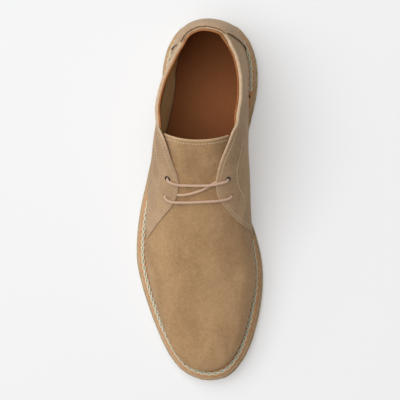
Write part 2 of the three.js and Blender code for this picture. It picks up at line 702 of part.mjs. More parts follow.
// A round cord through hand-placed points: [x, station, height over the vamp].
function cord(route, steps) {
  const points = route.map(([x, station, offset]) => pointOver(x, station, offset));
  const section = new THREE.Shape().absarc(0, 0, LACE_RADIUS, 0, 2 * Math.PI);
  const path = new THREE.CatmullRomCurve3(points, false, 'centripetal');
  return welded(new THREE.ExtrudeGeometry(section, { steps, extrudePath: path, curveSegments: 4 }));
}

function addLaces() {
  const LACE_STEPS = 34;
  const CROSSING_STEPS = 10;
  const upperBar = cord([
    [-19.1, 135.0, 0.8], [-19.1, 135.0, 3.1], [-18.9, 135.2, 4.1], [-17.9, 136.2, 4.8], [-16.3, 137.3, 4.9],
    [-14.2, 138.2, 4.8], [-11.4, 139.0, 4.4], [-5.8, 139.4, 3.8], [3.3, 139.5, 3.7], [12.2, 138.8, 4.0],
    [16.3, 138.0, 4.6], [19.5, 137.3, 4.9], [22.5, 136.6, 5.0], [25.0, 136.0, 4.9], [26.1, 135.7, 4.1],
    [26.3, 135.6, 3.1], [26.3, 135.6, 0.8],
  ], LACE_STEPS);
  const crossing = cord([
    [-10.5, 147.9, 1.6], [-3.3, 147.0, 1.6], [2.9, 145.3, 1.6], [7.7, 143.6, 1.7], [11.4, 140.9, 2.2],
    [14.2, 139.2, 3.3],
  ], CROSSING_STEPS);
  const lowerBar = cord([
    [-22.0, 148.4, 0.8], [-22.0, 148.4, 1.8], [-21.7, 148.9, 2.9], [-20.4, 150.6, 3.9], [-17.7, 151.9, 4.1],
    [-14.2, 152.4, 3.9], [-8.8, 152.7, 3.5], [2.7, 152.3, 3.4], [11.8, 151.8, 3.5], [18.2, 151.0, 4.0],
    [23.7, 150.2, 4.1], [26.9, 149.5, 3.9], [28.5, 149.0, 2.9], [28.9, 148.6, 1.8], [28.9, 148.6, 0.8],
  ], LACE_STEPS);
  addPiece('lace_upper', geometryOf(solidOf(upperBar).add(solidOf(crossing))), LACE_CORD);
  addPiece('lace_lower', lowerBar, LACE_CORD);
}

addSole();
addUpper();
addQuarters();
addHeelPanel();
addTongue();
addEyelets();
addLaces();

export default boot;
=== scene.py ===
"""A chukka boot for a right foot: sand suede on a welted crepe sole, with its looks and its studio.

Tables and sizes are in millimetres and meshes in metres. The toe points to -Y, the inner (medial)
side of the foot to +X. A "station" is the distance forward from the back of the heel. The upper is
one form, BootForm, and each leather is a sheet that stands at its own offset over it.
"""

from __future__ import annotations

import logging
import math
from collections.abc import Callable
from dataclasses import dataclass, field
from enum import Enum

import bpy
import numpy as np
from bpy.types import Material, Node, NodeSocket as Socket, NodeTree, Object
from mathutils import Matrix, Vector

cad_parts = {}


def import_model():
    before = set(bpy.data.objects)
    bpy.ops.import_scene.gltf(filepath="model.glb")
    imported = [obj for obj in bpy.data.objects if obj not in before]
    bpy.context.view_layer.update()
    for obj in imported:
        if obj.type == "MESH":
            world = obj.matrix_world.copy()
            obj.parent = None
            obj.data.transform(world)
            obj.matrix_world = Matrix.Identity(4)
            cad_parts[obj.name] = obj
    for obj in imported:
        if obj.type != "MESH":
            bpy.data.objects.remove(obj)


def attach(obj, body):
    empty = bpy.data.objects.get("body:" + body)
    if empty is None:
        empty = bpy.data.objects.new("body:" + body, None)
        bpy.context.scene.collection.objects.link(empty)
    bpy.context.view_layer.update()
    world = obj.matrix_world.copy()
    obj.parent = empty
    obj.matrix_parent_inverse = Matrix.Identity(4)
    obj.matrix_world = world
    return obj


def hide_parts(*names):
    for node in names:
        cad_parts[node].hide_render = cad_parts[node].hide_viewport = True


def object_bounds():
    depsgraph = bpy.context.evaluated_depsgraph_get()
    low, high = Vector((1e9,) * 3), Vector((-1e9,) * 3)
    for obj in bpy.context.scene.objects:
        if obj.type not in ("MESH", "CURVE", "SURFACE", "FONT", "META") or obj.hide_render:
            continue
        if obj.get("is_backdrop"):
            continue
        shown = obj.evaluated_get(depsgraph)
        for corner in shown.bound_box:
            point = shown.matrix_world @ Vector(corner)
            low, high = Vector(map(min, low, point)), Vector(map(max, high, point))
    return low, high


MM = 0.001
TAU = 2 * math.pi
LOG = logging.getLogger("chukka_boot")

Colour = tuple[float, float, float]
Array = np.ndarray

UP = np.array([0.0, 0.0, 1.0])
WHITE: Colour = (1.0, 1.0, 1.0)


def srgb(red: int, green: int, blue: int) -> Colour:
    """Turns a display colour, 0 to 255, into a linear one."""
    parts = (part / 255 for part in (red, green, blue))
    return tuple(((part + 0.055) / 1.055) ** 2.4 if part > 0.04 else part / 12.92 for part in parts)


def smooth_step(start: float, end: float, value: Array) -> Array:
    """A ramp from 0 to 1 with soft ends.

    Args:
        start: Where the ramp leaves 0; it may lie beyond end.
        end: Where the ramp reaches 1.
        value: Where to read it.

    Returns:
        The ramp's height at each value.
    """
    share = np.clip((np.asarray(value, float) - start) / (end - start), 0, 1)
    return share * share * (3 - 2 * share)


def blend(first: Array, second: Array, share: Array) -> Array:
    """The number or place that lies a share of the way from the first to the second."""
    return first * (1 - share) + second * share


def bell(value: Array, middle: float, width: float) -> Array:
    """A soft bell: 1 at its middle, falling off over its width on both sides."""
    return np.exp(-(((value - middle) / width) ** 2))


def quarter_round(depth: Array, radius: Array) -> Array:
    """The height of a rounded edge, 0 on the edge and 1 from its radius on."""
    return np.sqrt(np.clip(1 - (1 - np.clip(depth / radius, 0, 1)) ** 2, 0, 1))


def crowded(count: int, power: float = 1.5) -> Array:
    """Shares from 0 to 1 that close up towards 1."""
    return 1 - (1 - np.linspace(0, 1, count)) ** power


def unit(vectors: Array) -> Array:
    """The vectors' directions, each one long."""
    return vectors / np.linalg.norm(vectors, axis=-1, keepdims=True)


def run_along(path: Array) -> Array:
    """How far along its path each point lies; the points follow the last axis but one."""
    steps = np.linalg.norm(np.diff(path, axis=-2), axis=-1)
    return np.concatenate([np.zeros_like(steps[..., :1]), np.cumsum(steps, axis=-1)], axis=-1)


def read_along(values: Array, run: Array, places: Array) -> Array:
    """Reads points or directions, known at distances along a path, at other distances."""
    return np.stack([np.interp(places, run, values[:, axis]) for axis in range(3)], axis=1)


# ---------------------------------------------------------------- curves and sections
class Curve:
    """A smooth curve through given points, which can close on itself."""

    def __init__(self, xs: Array, ys: Array, period: float = 0.0) -> None:
        """Finds the slope at each point.

        Args:
            xs: Rising places.
            ys: The value at each place.
            period: The length after which the curve repeats, or 0.
        """
        x, y = np.array(xs, float), np.array(ys, float)
        self.start, self.period = x[0], period
        if period:
            x = np.concatenate([[x[-1] - period], x, x[:2] + period])
            y = np.concatenate([[y[-1]], y, y[:2]])
        self.x, self.y, self.span = x, y, np.diff(x)
        rise = np.diff(y) / self.span
        inner = (rise[:-1] * self.span[1:] + rise[1:] * self.span[:-1]) / (self.span[:-1] + self.span[1:])
        self.slope = np.concatenate([rise[:1], inner, rise[-1:]])

    def __call__(self, at: Array) -> Array:
        """Reads the curve; beyond an open curve's ends it stays level.

        Args:
            at: Places.

        Returns:
            The value at each place.
        """
        at = np.asarray(at, float)
        if self.period:
            at = (at - self.start) % self.period + self.start
        at = np.clip(at, self.x[0], self.x[-1])
        i = np.clip(np.searchsorted(self.x, at, side="right") - 1, 0, len(self.span) - 1)
        t = (at - self.x[i]) / self.span[i]
        ends = (1 + 2 * t) * (1 - t) ** 2 * self.y[i] + t * t * (3 - 2 * t) * self.y[i + 1]
        slopes = t * (1 - t) ** 2 * self.slope[i] + t * t * (t - 1) * self.slope[i + 1]
        return ends + self.span[i] * slopes


class Sections:
    """A short table with a row for each section and named columns; one of them is the station."""

    def __init__(self, names: str, *rows: tuple[float, ...]) -> None:
        """Keeps the rows.

        Args:
            names: The columns' names, with spaces between.
            rows: One tuple of numbers for each section.
        """
        self.names = names.split()
        self.rows = np.array(rows, float)

    def column(self, name: str) -> Array:
        """All values of a column."""
        return self.rows[:, self.names.index(name)]

    def curve(self, name: str, along: str = "station") -> Curve:
        """A column's curve along another column."""
        return Curve(self.column(along), self.column(name))


# The sole's outline, the upper's wall, and lines along the boot, each from the heel forward.
SOLE_SECTIONS = Sections(
    "station lateral medial",
    (0, 9.1, 9.1), (8, -15.6, 33.8), (20, -24.6, 43.3), (40, -30.4, 49.1), (62, -31.4, 48.8),
    (85, -33.9, 44.0), (110, -39.3, 38.6), (135, -45.1, 36.9), (160, -50.8, 40.5), (185, -53.9, 48.7),
    (205, -53.8, 53.0), (225, -49.6, 53.8), (245, -43.1, 51.6), (265, -35.2, 47.0), (280, -27.8, 41.6),
    (293, -18.4, 33.6), (300, -9.6, 26.4), (305, 9.6, 9.6),
)
# Lean and rim of the wall in front of the collar, on both sides.
FRONT_WALL = (9, 11, 116, 118)
UPPER_SECTIONS = Sections(
    "station lateral medial swell_lateral swell_medial lean_lateral lean_medial rim_lateral rim_medial",
    (8, 9.3, 9.3, 1.0, 1.0, 11.7, 11.7, 105, 105),
    (14, -8.3, 29.3, 0.8, 1.0, 11.1, 11.8, 104.5, 104.5),
    (20, -12.9, 33.2, 0.5, 1.1, 9.7, 11.2, 103.5, 103.5),
    (26.5, -15.8, 35.5, 0.6, 1.3, 8.8, 9.5, 102, 102),
    (42, -20.4, 38.7, 1.0, 2.0, 5.6, 6.8, 98.5, 99.5),
    (62, -21.8, 39.0, 1.4, 2.0, -1.3, 3.9, 98, 100),
    (85, -26.5, 36.6, 1.4, 4.4, -0.1, 6.3, 104, 106),
    (92, -28.35, 35.8, 1.1, 5.2, 2.2, 9.0, 107.4, 109.4),
    (110, -33.2, 34.0, 0.3, 7.0, *FRONT_WALL),
    (135, -37.5, 33.6, 0.4, 8.4, *FRONT_WALL),
    (160, -39.8, 36.8, 0.6, 5.8, *FRONT_WALL),
    (182, -42.2, 42.0, 1.0, 2.0, *FRONT_WALL),
    (197, -42.8, 44.9, 1.2, 1.3, *FRONT_WALL),
    (211, -41.3, 46.8, 1.2, 1.2, *FRONT_WALL),
    (224, -38.8, 46.4, 1.2, 1.2, *FRONT_WALL),
    (240, -34.6, 43.4, 1.2, 1.2, *FRONT_WALL),
    (262, -27.0, 38.4, 1.2, 1.2, *FRONT_WALL),
    (276, -20.6, 32.7, 1.2, 1.2, *FRONT_WALL),
    (289, -9.2, 22.3, 1.2, 1.2, *FRONT_WALL),
    (293.8, 5.8, 5.8, 1.2, 1.2, *FRONT_WALL),
)
UNDERSIDE = Sections(
    "station height",
    (0, 12.2), (60, 12.2), (85, 11.4), (112, 6.8), (140, 2), (165, 0), (212, 0), (240, 1.3), (270, 5),
    (305, 11.5),
)
AXIS = Sections(
    "station x",
    (40, 8.6), (62, 7.2), (85, 4.8), (110, 3.4), (140, 2.8), (180, 1.6), (220, 3.2), (260, 5.6),
)
RIDGE = Sections(
    "station height",
    (90, 142), (107, 126.5), (120, 115.5), (140, 99.5), (160, 85.5), (180, 74), (200, 65), (220, 57.5),
    (240, 52), (260, 47.5), (280, 45), (296, 43),
)
WIDEST = Sections(
    "station height",
    (8, 22), (42, 22), (85, 24), (135, 24), (185, 16), (220, 12), (262, 10), (294, 9),
)
FULLNESS = Sections(
    "station power",
    (88, 3.1), (100, 2.85), (120, 2.55), (140, 2.4), (180, 2.2), (220, 2.15), (260, 2.2),
)
# Edges and seams of the upper's leathers, as seen from above, and the welt's as insets from its edge.
FACING_EDGES = Sections(
    "station lateral medial",
    (90, -27.3, 33.4), (96, -25.0, 32.3), (102, -22.2, 30.2), (108, -19.8, 27.9), (114, -17.9, 25.3),
    (121, -16.0, 22.3), (128, -13.7, 20.1), (134, -11.8, 18.6), (138.5, -11.0, 17.9), (142, -11.3, 17.8),
    (147, -12.2, 18.6), (151, -13.5, 19.9), (156, -16.6, 22.7), (161, -20.8, 26.6), (166, -25.4, 30.5),
    (172, -30.6, 36.6), (178, -34.8, 43.4), (184, -40.0, 50.0),
)
SLOT_EDGES = Sections(
    "station lateral medial",
    (90, -28.4, 34.8), (104, -27.9, 34.3), (112, -27.8, 34.4), (125, -28, 34.6), (140, -28.6, 35.2),
)
TONGUE_EDGES = Sections(
    "station lateral medial",
    (100, -21.2, 27.9), (104, -22.6, 29.0), (112, -25, 31.6), (125, -27.2, 33.6), (140, -28.6, 35.2),
)
PANEL_SEAM = Sections(
    "height lateral medial",
    (0, 30.2, 30.8), (45, 31.0, 28.6), (86, 32.0, 23.6),
)
WELT_LINES = Sections(
    "station edge_lateral edge_medial braid_lateral braid_medial",
    (0, 3.0, 3.0, 5.4, 5.4), (30, 2.6, 2.9, 5.0, 5.3), (60, 2.7, 3.0, 5.2, 5.4),
    (85, 2.9, 2.6, 5.6, 5.0), (110, 3.0, 2.2, 6.0, 3.8), (150, 3.2, 2.2, 6.2, 3.8),
    (200, 3.4, 2.4, 6.3, 5.1), (222, 3.4, 2.6, 6.3, 5.7), (254, 3.5, 3.3, 6.2, 6.7),
    (280, 3.6, 3.6, 6.3, 6.5), (305, 3.8, 3.8, 6.8, 6.8),
)
# The station where each facing's edge turns down to the welt.
FACING_FOOT = {"lateral": 184.0, "medial": 177.5}
STAY_SEAM = Sections(
    "station lateral medial",
    (101, -28.2, 38.6), (114, -27.4, 36.3), (123, -26.6, 34.1), (129, -25.3, 33.0), (133, -24.9, 32.8),
    (138, -25.6, 33.4), (142, -26.8, 34.4), (147, -28.8, 36.4), (150, -30.2, 37.8),
)


@dataclass(frozen=True)
class Layers:
    """Thicknesses of the boot's layers from the outsole up, of the upper's wall, and the gap between."""

    outsole: float = 7.6
    midsole: float = 3.1
    welt: float = 3.3
    insole: float = 2.8
    wall: float = 1.9
    gap: float = 0.35

    @property
    def midsole_base(self) -> float:
        """The midsole's underside over the outsole's."""
        return self.outsole + self.gap

    @property
    def welt_base(self) -> float:
        """The welt's underside over the outsole's."""
        return self.midsole_base + self.midsole + self.gap

    @property
    def welt_top(self) -> float:
        """The welt's top over the outsole's underside."""
        return self.welt_base + self.welt

    @property
    def upper_base(self) -> float:
        """The feather line over the outsole's underside."""
        return self.welt_top + self.gap


@dataclass(frozen=True)
class Throat:
    """The slot in the vamp that the tongue fills, and its rounded front end."""

    back: float = 96.0
    open: float = 103.0
    round: float = 140.0
    front: float = 153.8
    roundness: float = 3.0

    def narrowing(self, station: Array) -> Array:
        """The slot's width at a station, as a share of its width where it starts to close."""
        past = np.clip((np.asarray(station, float) - self.round) / (self.front - self.round), 0, 1)
        return (1 - past**self.roundness) ** (1 / self.roundness)

    def front_at(self, share: Array) -> Array:
        """The station of the slot's front end, at a share of the way out to its side."""
        depth = (1 - np.abs(share) ** self.roundness) ** (1 / self.roundness)
        return self.round + (self.front - self.round) * depth


LAYERS = Layers()
THROAT = Throat()


class Side(Enum):
    """A side of the boot, with the name that the tables give it."""

    MEDIAL = "medial"
    LATERAL = "lateral"

    def loop_angle(self, half_angle: Array) -> Array:
        """The loop angle on this side of a half angle, 0 at the heel and pi at the toe."""
        return half_angle if self is Side.MEDIAL else TAU - half_angle


class Outline:
    """A closed outline round the boot, from a lateral and a medial value at each station."""

    def __init__(self, sections: Sections, what: str = "") -> None:
        """Closes the table's two sides into one loop.

        Args:
            sections: The table.
            what: What the two columns give, where they aren't named by their side alone.
        """
        lateral, medial = (f"{what}_{side}" if what else side for side in ("lateral", "medial"))
        stations = sections.column("station")
        self.first, self.last = stations[0], stations[-1]
        angles = self.angle_at(stations)
        returning = slice(-2, 0, -1)
        loop = np.concatenate([angles, TAU - angles[returning]])
        values = np.concatenate([sections.column(medial), sections.column(lateral)[returning]])
        self.value = Curve(loop, values, TAU)

    def angle_at(self, station: Array) -> Array:
        """The half angle of a station."""
        share = (np.asarray(station, float) - self.first) / (self.last - self.first)
        return np.arccos(np.clip(1 - 2 * share, -1, 1))

    def station_at(self, angle: Array) -> Array:
        """The station of a loop angle."""
        return self.first + (self.last - self.first) * (1 - np.cos(angle)) / 2


@dataclass(frozen=True)
class Ray:
    """Rays from the middle line out to an outline: foot, direction and length."""

    foot: Array
    hub: Array
    across: Array
    forward: Array
    length: Array

    def at(self, reach: Array) -> tuple[Array, Array]:
        """The x and the station at a distance along each ray."""
        return self.foot + self.across * reach, self.hub + self.forward * reach

    def beyond(self, reach: Array) -> tuple[Array, Array]:
        """The x and the station at a distance beyond the outline, or inside it where below 0."""
        return self.at(self.length + reach)


@dataclass(frozen=True)
class Fold:
    """A soft ridge or trough in the leather, oval as seen from above."""

    x: float
    station: float
    turn: float
    length: float
    width: float
    rise: float

    def height(self, x: Array, station: Array) -> Array:
        """The fold's height at each place.

        Args:
            x: Across the boot.
            station: Along the boot.

        Returns:
            Millimetres that the leather stands off its even form.
        """
        turn = math.radians(self.turn)
        along = (station - self.station) * math.cos(turn) + (x - self.x) * math.sin(turn)
        over = (x - self.x) * math.cos(turn) - (station - self.station) * math.sin(turn)
        return self.rise * np.exp(-((along / self.length) ** 2) - (over / self.width) ** 2)


# Folds: one along the lateral side of the vamp, hollows beside it and over the ball,
# and faint waves where the foot bends.
FOLDS = (
    Fold(x=-35, station=186, turn=-6, length=26, width=3.6, rise=0.75),
    Fold(x=-28.5, station=184, turn=-6, length=24, width=4.2, rise=-0.6),
    Fold(x=-24, station=215, turn=10, length=18, width=5, rise=0.35),
    Fold(x=30, station=203, turn=8, length=17, width=6, rise=-0.7),
    Fold(x=36, station=228, turn=14, length=14, width=4, rise=-0.5),
    Fold(x=24, station=182, turn=20, length=13, width=4, rise=0.45),
    Fold(x=2, station=184, turn=84, length=24, width=5, rise=-0.3),
    Fold(x=4, station=197, turn=92, length=26, width=4.5, rise=-0.32),
    Fold(x=0, station=211, turn=87, length=22, width=5, rise=-0.25),
    Fold(x=8, station=246, turn=100, length=15, width=8, rise=0.3),
    Fold(x=-34, station=120, turn=12, length=16, width=5, rise=-0.5),
    Fold(x=38, station=118, turn=-10, length=18, width=4, rise=-0.6),
    Fold(x=6, station=118, turn=2, length=14, width=10, rise=-0.5),
    Fold(x=-38.8, station=166, turn=-3, length=17, width=1.8, rise=0.55),
)


# ---------------------------------------------------------------- the boot's form
@dataclass
class BootForm:
    """The boot's form as functions: the sole's outline, the feather line and the upper's wall."""

    heel_hub: float = 40.0
    toe_hub: float = 260.0
    arch_from: float = 80.0
    arch_to: float = 102.0
    lean_power: float = 1.5
    upright_from: float = -0.3
    folds_from: float = -0.4
    folds_full: float = 0.3
    ridge_level: float = 0.999

    def __post_init__(self) -> None:
        """Makes the curves from the tables."""
        self.length = SOLE_SECTIONS.column("station")[-1]
        self.sole, self.feather = Outline(SOLE_SECTIONS), Outline(UPPER_SECTIONS)
        self.swell, self.lean, self.rim = (Outline(UPPER_SECTIONS, what) for what in ("swell", "lean", "rim"))
        self.axis, self.ridge = AXIS.curve("x"), RIDGE.curve("height")
        self.widest, self.fullness = WIDEST.curve("height"), FULLNESS.curve("power")
        self._underside = UNDERSIDE.curve("height")

    def underside(self, station: Array) -> Array:
        """The outsole's underside over the floor."""
        return np.maximum(0, self._underside(station))

    def to_boot(self, x: Array, station: Array, height: Array) -> Array:
        """Points in the row frame, still in millimetres."""
        return np.stack(np.broadcast_arrays(x, self.length / 2 - np.asarray(station, float), height), axis=-1)

    def station_of(self, points: Array) -> Array:
        """The station of points in the row frame."""
        return self.length / 2 - points[..., 1]

    def ray(self, outline: Outline, angle: Array) -> Ray:
        """Draws rays from the middle line out to an outline, in a fan round the heel and the toe.

        Args:
            outline: The outline.
            angle: Loop angles.

        Returns:
            The ray at each angle.
        """
        station = outline.station_at(angle)
        hub = np.clip(station, self.heel_hub, self.toe_hub)
        foot = self.axis(hub)
        across, forward = outline.value(angle) - foot, station - hub
        length = np.hypot(across, forward)
        return Ray(foot, hub, across / length, forward / length, length)

    def _middle(self, angle: Array, hub: Array) -> tuple[Array, Array]:
        """Heights of the feather line and of the widest place."""
        bottom = self.underside(self.feather.station_at(angle)) + LAYERS.upper_base
        return bottom, bottom + self.widest(hub)

    def face(self, angle: Array, level: Array) -> Array:
        """The vamp's outer face, without its folds.

        Args:
            angle: Loop angles.
            level: -1 at the feather line, 0 at the widest place, 1 on the ridge.

        Returns:
            Points in millimetres.
        """
        angle, level = np.broadcast_arrays(np.asarray(angle, float), np.asarray(level, float))
        ray = self.ray(self.feather, angle)
        bottom, middle = self._middle(angle, ray.hub)
        full = ray.length + self.swell.value(angle)
        low = np.minimum(level, 0)
        tucked = blend(ray.length, full, 1 - low * low)
        turn = np.clip(level, 0, 1) * math.pi / 2
        power = 2 / self.fullness(ray.hub)
        arched = full * np.clip(np.cos(turn), 0, 1) ** power
        top = self.ridge(ray.hub + ray.forward * arched)
        height = blend(middle, top, np.sin(turn) ** power)
        climb = np.maximum(0, (height - middle) / (self.rim.value(angle) - middle))
        leaning = full - self.lean.value(angle) * climb**self.lean_power
        arch = smooth_step(self.arch_from, self.arch_to, self.feather.station_at(angle))
        reach = np.where(level <= 0, tucked, blend(leaning, arched, arch))
        height = np.where(level <= 0, middle + low * (middle - bottom), height)
        x, station = ray.at(reach)
        return self.to_boot(x, station, height)

    def normal(self, angle: Array, level: Array) -> Array:
        """Finds the wall's outward normal, level near the feather line and shared by both sides on the ridge.

        Args:
            angle: Loop angles.
            level: Heights up the wall.

        Returns:
            A direction for each place.
        """
        step = 0.002
        around = self.face(angle + step, level) - self.face(angle - step, level)
        above = self.face(angle, np.minimum(0.9995, level + step))
        normal = unit(np.cross(above - self.face(angle, np.maximum(-1, level - step)), around))
        upright = smooth_step(-1, self.upright_from, level)
        normal[..., 2] *= np.where(normal[..., 2] < 0, upright, 1)
        hub = self.ray(self.feather, angle).hub
        rise = self.ridge(hub + 1) - self.ridge(hub - 1)
        crest = np.stack(np.broadcast_arrays(0.0, rise, 2.0), axis=-1)
        return unit(np.where(np.asarray(level)[..., None] > self.ridge_level, crest, normal))

    def wall(self, angle: Array, level: Array, offset: Array) -> Array:
        """Points at an offset from the vamp's folded outer face.

        Args:
            angle: Loop angles.
            level: Heights up the wall.
            offset: Millimetres outwards.

        Returns:
            Points in millimetres.
        """
        angle, level = np.broadcast_arrays(np.asarray(angle, float), np.asarray(level, float))
        base = self.face(angle, level)
        above = smooth_step(self.folds_from, self.folds_full, level)
        folds = sum(fold.height(base[..., 0], self.station_of(base)) for fold in FOLDS) * above
        return base + self.normal(angle, level) * (np.asarray(offset, float) + folds)[..., None]

    def half_width(self, angle: Array) -> Array:
        """The wall's distance from the middle line at its widest place."""
        return self.ray(self.feather, angle).length + self.swell.value(angle)

    def place_over(self, x: Array, station: Array) -> tuple[Array, Array]:
        """Finds a place seen from above on the arched part of the wall.

        Args:
            x: Across the boot.
            station: Along the boot.

        Returns:
            Its loop angle and its level.
        """
        x, station = np.broadcast_arrays(np.asarray(x, float), np.asarray(station, float))
        half = self.feather.angle_at(station)
        angle = np.where(x >= self.axis(station), half, TAU - half)
        share = np.clip(np.abs(x - self.axis(station)) / self.half_width(angle), 0, 1)
        return angle, np.arccos(share ** (self.fullness(station) / 2)) * 2 / math.pi

    def over(self, x: Array, station: Array, offset: Array) -> Array:
        """Points over a place seen from above, at an offset from the vamp."""
        angle, level = self.place_over(x, station)
        return self.wall(angle, level, offset)

    def rim_level(self, angle: Array) -> Array:
        """Finds the collar's rim on the wall.

        Args:
            angle: Loop angles.

        Returns:
            The rim's level at each angle.
        """
        ray = self.ray(self.feather, angle)
        _, middle = self._middle(angle, ray.hub)
        climb = np.clip((self.rim.value(angle) - middle) / (self.ridge(ray.hub) - middle), 0, 1)
        return np.arcsin(climb ** (self.fullness(ray.hub) / 2)) * 2 / math.pi

    def edge_level(self, side: Side, edges: Sections, station: Array) -> Array:
        """The wall's level under an edge that a table gives as seen from above."""
        return self.place_over(edges.curve(side.value)(station), station)[1]

    def rows_up(self, angles: Array, tops: Array, rows: int, crowd: float = 1.8) -> Array:
        """Levels for a grid's rows, close together under the top edge and wider below.

        Args:
            angles: The grid's columns.
            tops: The level where each column ends.
            rows: How many rows.
            crowd: How strongly the rows close up.

        Returns:
            A level for each column and row.
        """
        dense = np.linspace(0, 1, 200)
        levels = blend(-1, tops[:, None], dense)
        lengths = run_along(self.face(angles[:, None], levels))
        share = crowded(rows, crowd)
        return np.stack([np.interp(share * run[-1], run, level) for run, level in zip(lengths, levels)])


# ---------------------------------------------------------------- meshes
class Shape:
    """Collects corners and faces in millimetres and makes one Blender mesh of them."""

    joined_within: float = 1 / 2000
    sharp_from: float = 45.0

    def __init__(self) -> None:
        """Starts empty."""
        self.points: list[Array] = []
        self.faces: list[Array] = []
        self.slots: list[Array] = []
        self.uvs: list[Array] = []
        self.edge: list[Array] = []
        self.count = 0

    def add(self, points: Array, faces: Array, slot: int = 0, uv: Array | None = None,
            edge: Array | None = None) -> None:
        """Adds four-cornered faces on new corners.

        Args:
            points: Corners, (n, 3).
            faces: Corner numbers, (m, 4).
            slot: The material slot.
            uv: Texture places at the faces' corners, (m, 4, 2).
            edge: A mask at each corner, 1 on a cut edge; the suede paints it paler, partly as a painted
                highlight.
        """
        points = points.reshape(-1, 3)
        self.points.append(points)
        self.faces.append(faces + self.count)
        self.slots.append(np.full(len(faces), slot))
        self.uvs.append(np.zeros((len(faces), 4, 2)) if uv is None else uv)
        self.edge.append(np.zeros(len(points)) if edge is None else edge.reshape(-1))
        self.count += len(points)

    def add_grid(self, grid: Array, slot: int = 0, closed: bool = False, flip: bool = False,
                 edge: Array | None = None, keep: Array | None = None) -> None:
        """Adds a grid of corners.

        Args:
            grid: Corners, (columns, rows, 3).
            slot: The material slot.
            closed: Whether the last column joins the first.
            flip: Whether to turn the faces over.
            edge: A mask for each corner.
            keep: Whether each column's strip of faces is made.
        """
        columns, rows = grid.shape[:2]
        i = np.arange(columns if closed else columns - 1)
        if keep is not None:
            i = i[keep[: len(i)]]
        j = np.arange(rows - 1)
        i, j = [part.ravel() for part in np.meshgrid(i, j, indexing="ij")]
        following = (i + 1) % columns
        here, beside = i * rows + j, following * rows + j
        faces = np.stack([here, beside, beside + 1, here + 1], axis=1)
        self.add(grid, faces[:, ::-1] if flip else faces, slot, edge=edge)

    def add_tube(self, path: Array, ups: Array, radius: float, sides: int = 10, closed: bool = False,
                 squash: float = 1.0) -> None:
        """Adds a round cord along a path; an open one has rounded ends.

        Args:
            path: Points along its middle, (n, 3).
            ups: A direction across the path, one or one for each point.
            radius: Its radius.
            sides: Sides of its section.
            closed: Whether the path closes.
            squash: Its height as a share of its width.
        """
        ahead = np.roll(path, -1, axis=0) - np.roll(path, 1, axis=0)
        if not closed:
            ahead[0], ahead[-1] = path[1] - path[0], path[-1] - path[-2]
        ahead = unit(ahead)
        side = unit(np.cross(ahead, ups))
        up = np.cross(side, ahead)
        run = run_along(path)
        reach = np.full(len(path), radius)
        if not closed:
            reach = radius * quarter_round(np.minimum(run, run[-1] - run), radius)
        turn = (np.arange(sides) * TAU / sides)[None, :, None]
        ring = np.cos(turn) * side[:, None] + np.sin(turn) * up[:, None] * squash
        count = len(path)
        i, j = np.meshgrid(np.arange(count if closed else count - 1), np.arange(sides), indexing="ij")
        i, j = i.ravel(), j.ravel()
        here, ahead_row, beside = i * sides, (i + 1) % count * sides, (j + 1) % sides
        faces = np.stack([here + j, here + beside, ahead_row + beside, ahead_row + j], axis=1)
        ends = np.append(run, run[-1] + np.linalg.norm(path[0] - path[-1]))
        along = np.stack([ends[i], ends[i], ends[i + 1], ends[i + 1]], axis=1)
        around = np.stack([j, j + 1, j + 1, j], axis=1) / sides
        self.add(path[:, None] + ring * reach[:, None, None], faces, uv=np.stack([along, around], axis=-1))

    def add_stitches(self, path: Array, ups: Array, pitch: float, length: float, radius: float) -> None:
        """Adds a row of short stitches along a path, each sunk at both ends.

        Args:
            path: Points along the seam.
            ups: The leather's normal at each point.
            pitch: From one stitch to the next.
            length: Of a stitch.
            radius: Of its thread.
        """
        run = run_along(path)
        share = np.linspace(-0.5, 0.5, 7)
        rise = radius * (0.35 - 3.2 * share**2)[:, None]
        for middle in np.arange(pitch / 2, run[-1], pitch):
            places = middle + share * length
            normals = read_along(ups, run, places)
            self.add_tube(read_along(path, run, places) + normals * rise, normals, radius, sides=6)

    def build(self, name: str, *materials: Material) -> Object:
        """Makes the object: corners in one place are joined and faces without area dropped.

        Args:
            name: The object's name.
            materials: Its slots.

        Returns:
            The object, linked to the scene.
        """
        points = np.concatenate(self.points)
        cells = np.round(points / self.joined_within).astype(np.int64)
        _, first, index = np.unique(cells, axis=0, return_index=True, return_inverse=True)
        faces, slots = index.reshape(-1)[np.concatenate(self.faces)], np.concatenate(self.slots)
        uvs = np.concatenate(self.uvs)
        kept, kept_uv, kept_slots = [], [], []
        for face, slot, uv in zip(faces.tolist(), slots.tolist(), uvs.tolist()):
            corners = [k for k in range(4) if face[k] != face[k - 1]]
            if len(corners) > 2 and len({face[k] for k in corners}) == len(corners):
                kept.append([face[k] for k in corners])
                kept_uv.extend(uv[k] for k in corners)
                kept_slots.append(slot)
        mesh = bpy.data.meshes.new(name)
        mesh.from_pydata((points[first] * MM).tolist(), [], kept)
        mesh.polygons.foreach_set("material_index", kept_slots)
        mesh.polygons.foreach_set("use_smooth", [True] * len(kept))
        mesh.uv_layers.new(name="run").data.foreach_set("uv", np.array(kept_uv, np.float32).ravel())
        # The cut-edge mask: the suede paints these corners paler, partly as a painted highlight.
        mask = mesh.attributes.new("cut_edge_and_highlight", "FLOAT", "POINT")
        mask.data.foreach_set("value", np.concatenate(self.edge)[first].astype(np.float32))
        for material in materials:
            mesh.materials.append(material)
        mesh.update()
        mesh.set_sharp_from_angle(angle=math.radians(self.sharp_from))
        piece = bpy.data.objects.new(name, mesh)
        bpy.context.scene.collection.objects.link(piece)
        return piece


def distance_to_line(points: Array, line: Array) -> Array:
    """The distance of each point to the nearest of a line's points.

    Args:
        points: (columns, rows, 3).
        line: (n, 3), close together.

    Returns:
        Distances, (columns, rows).
    """
    return np.stack([np.linalg.norm(column[:, None] - line[None], axis=-1).min(axis=1) for column in points])


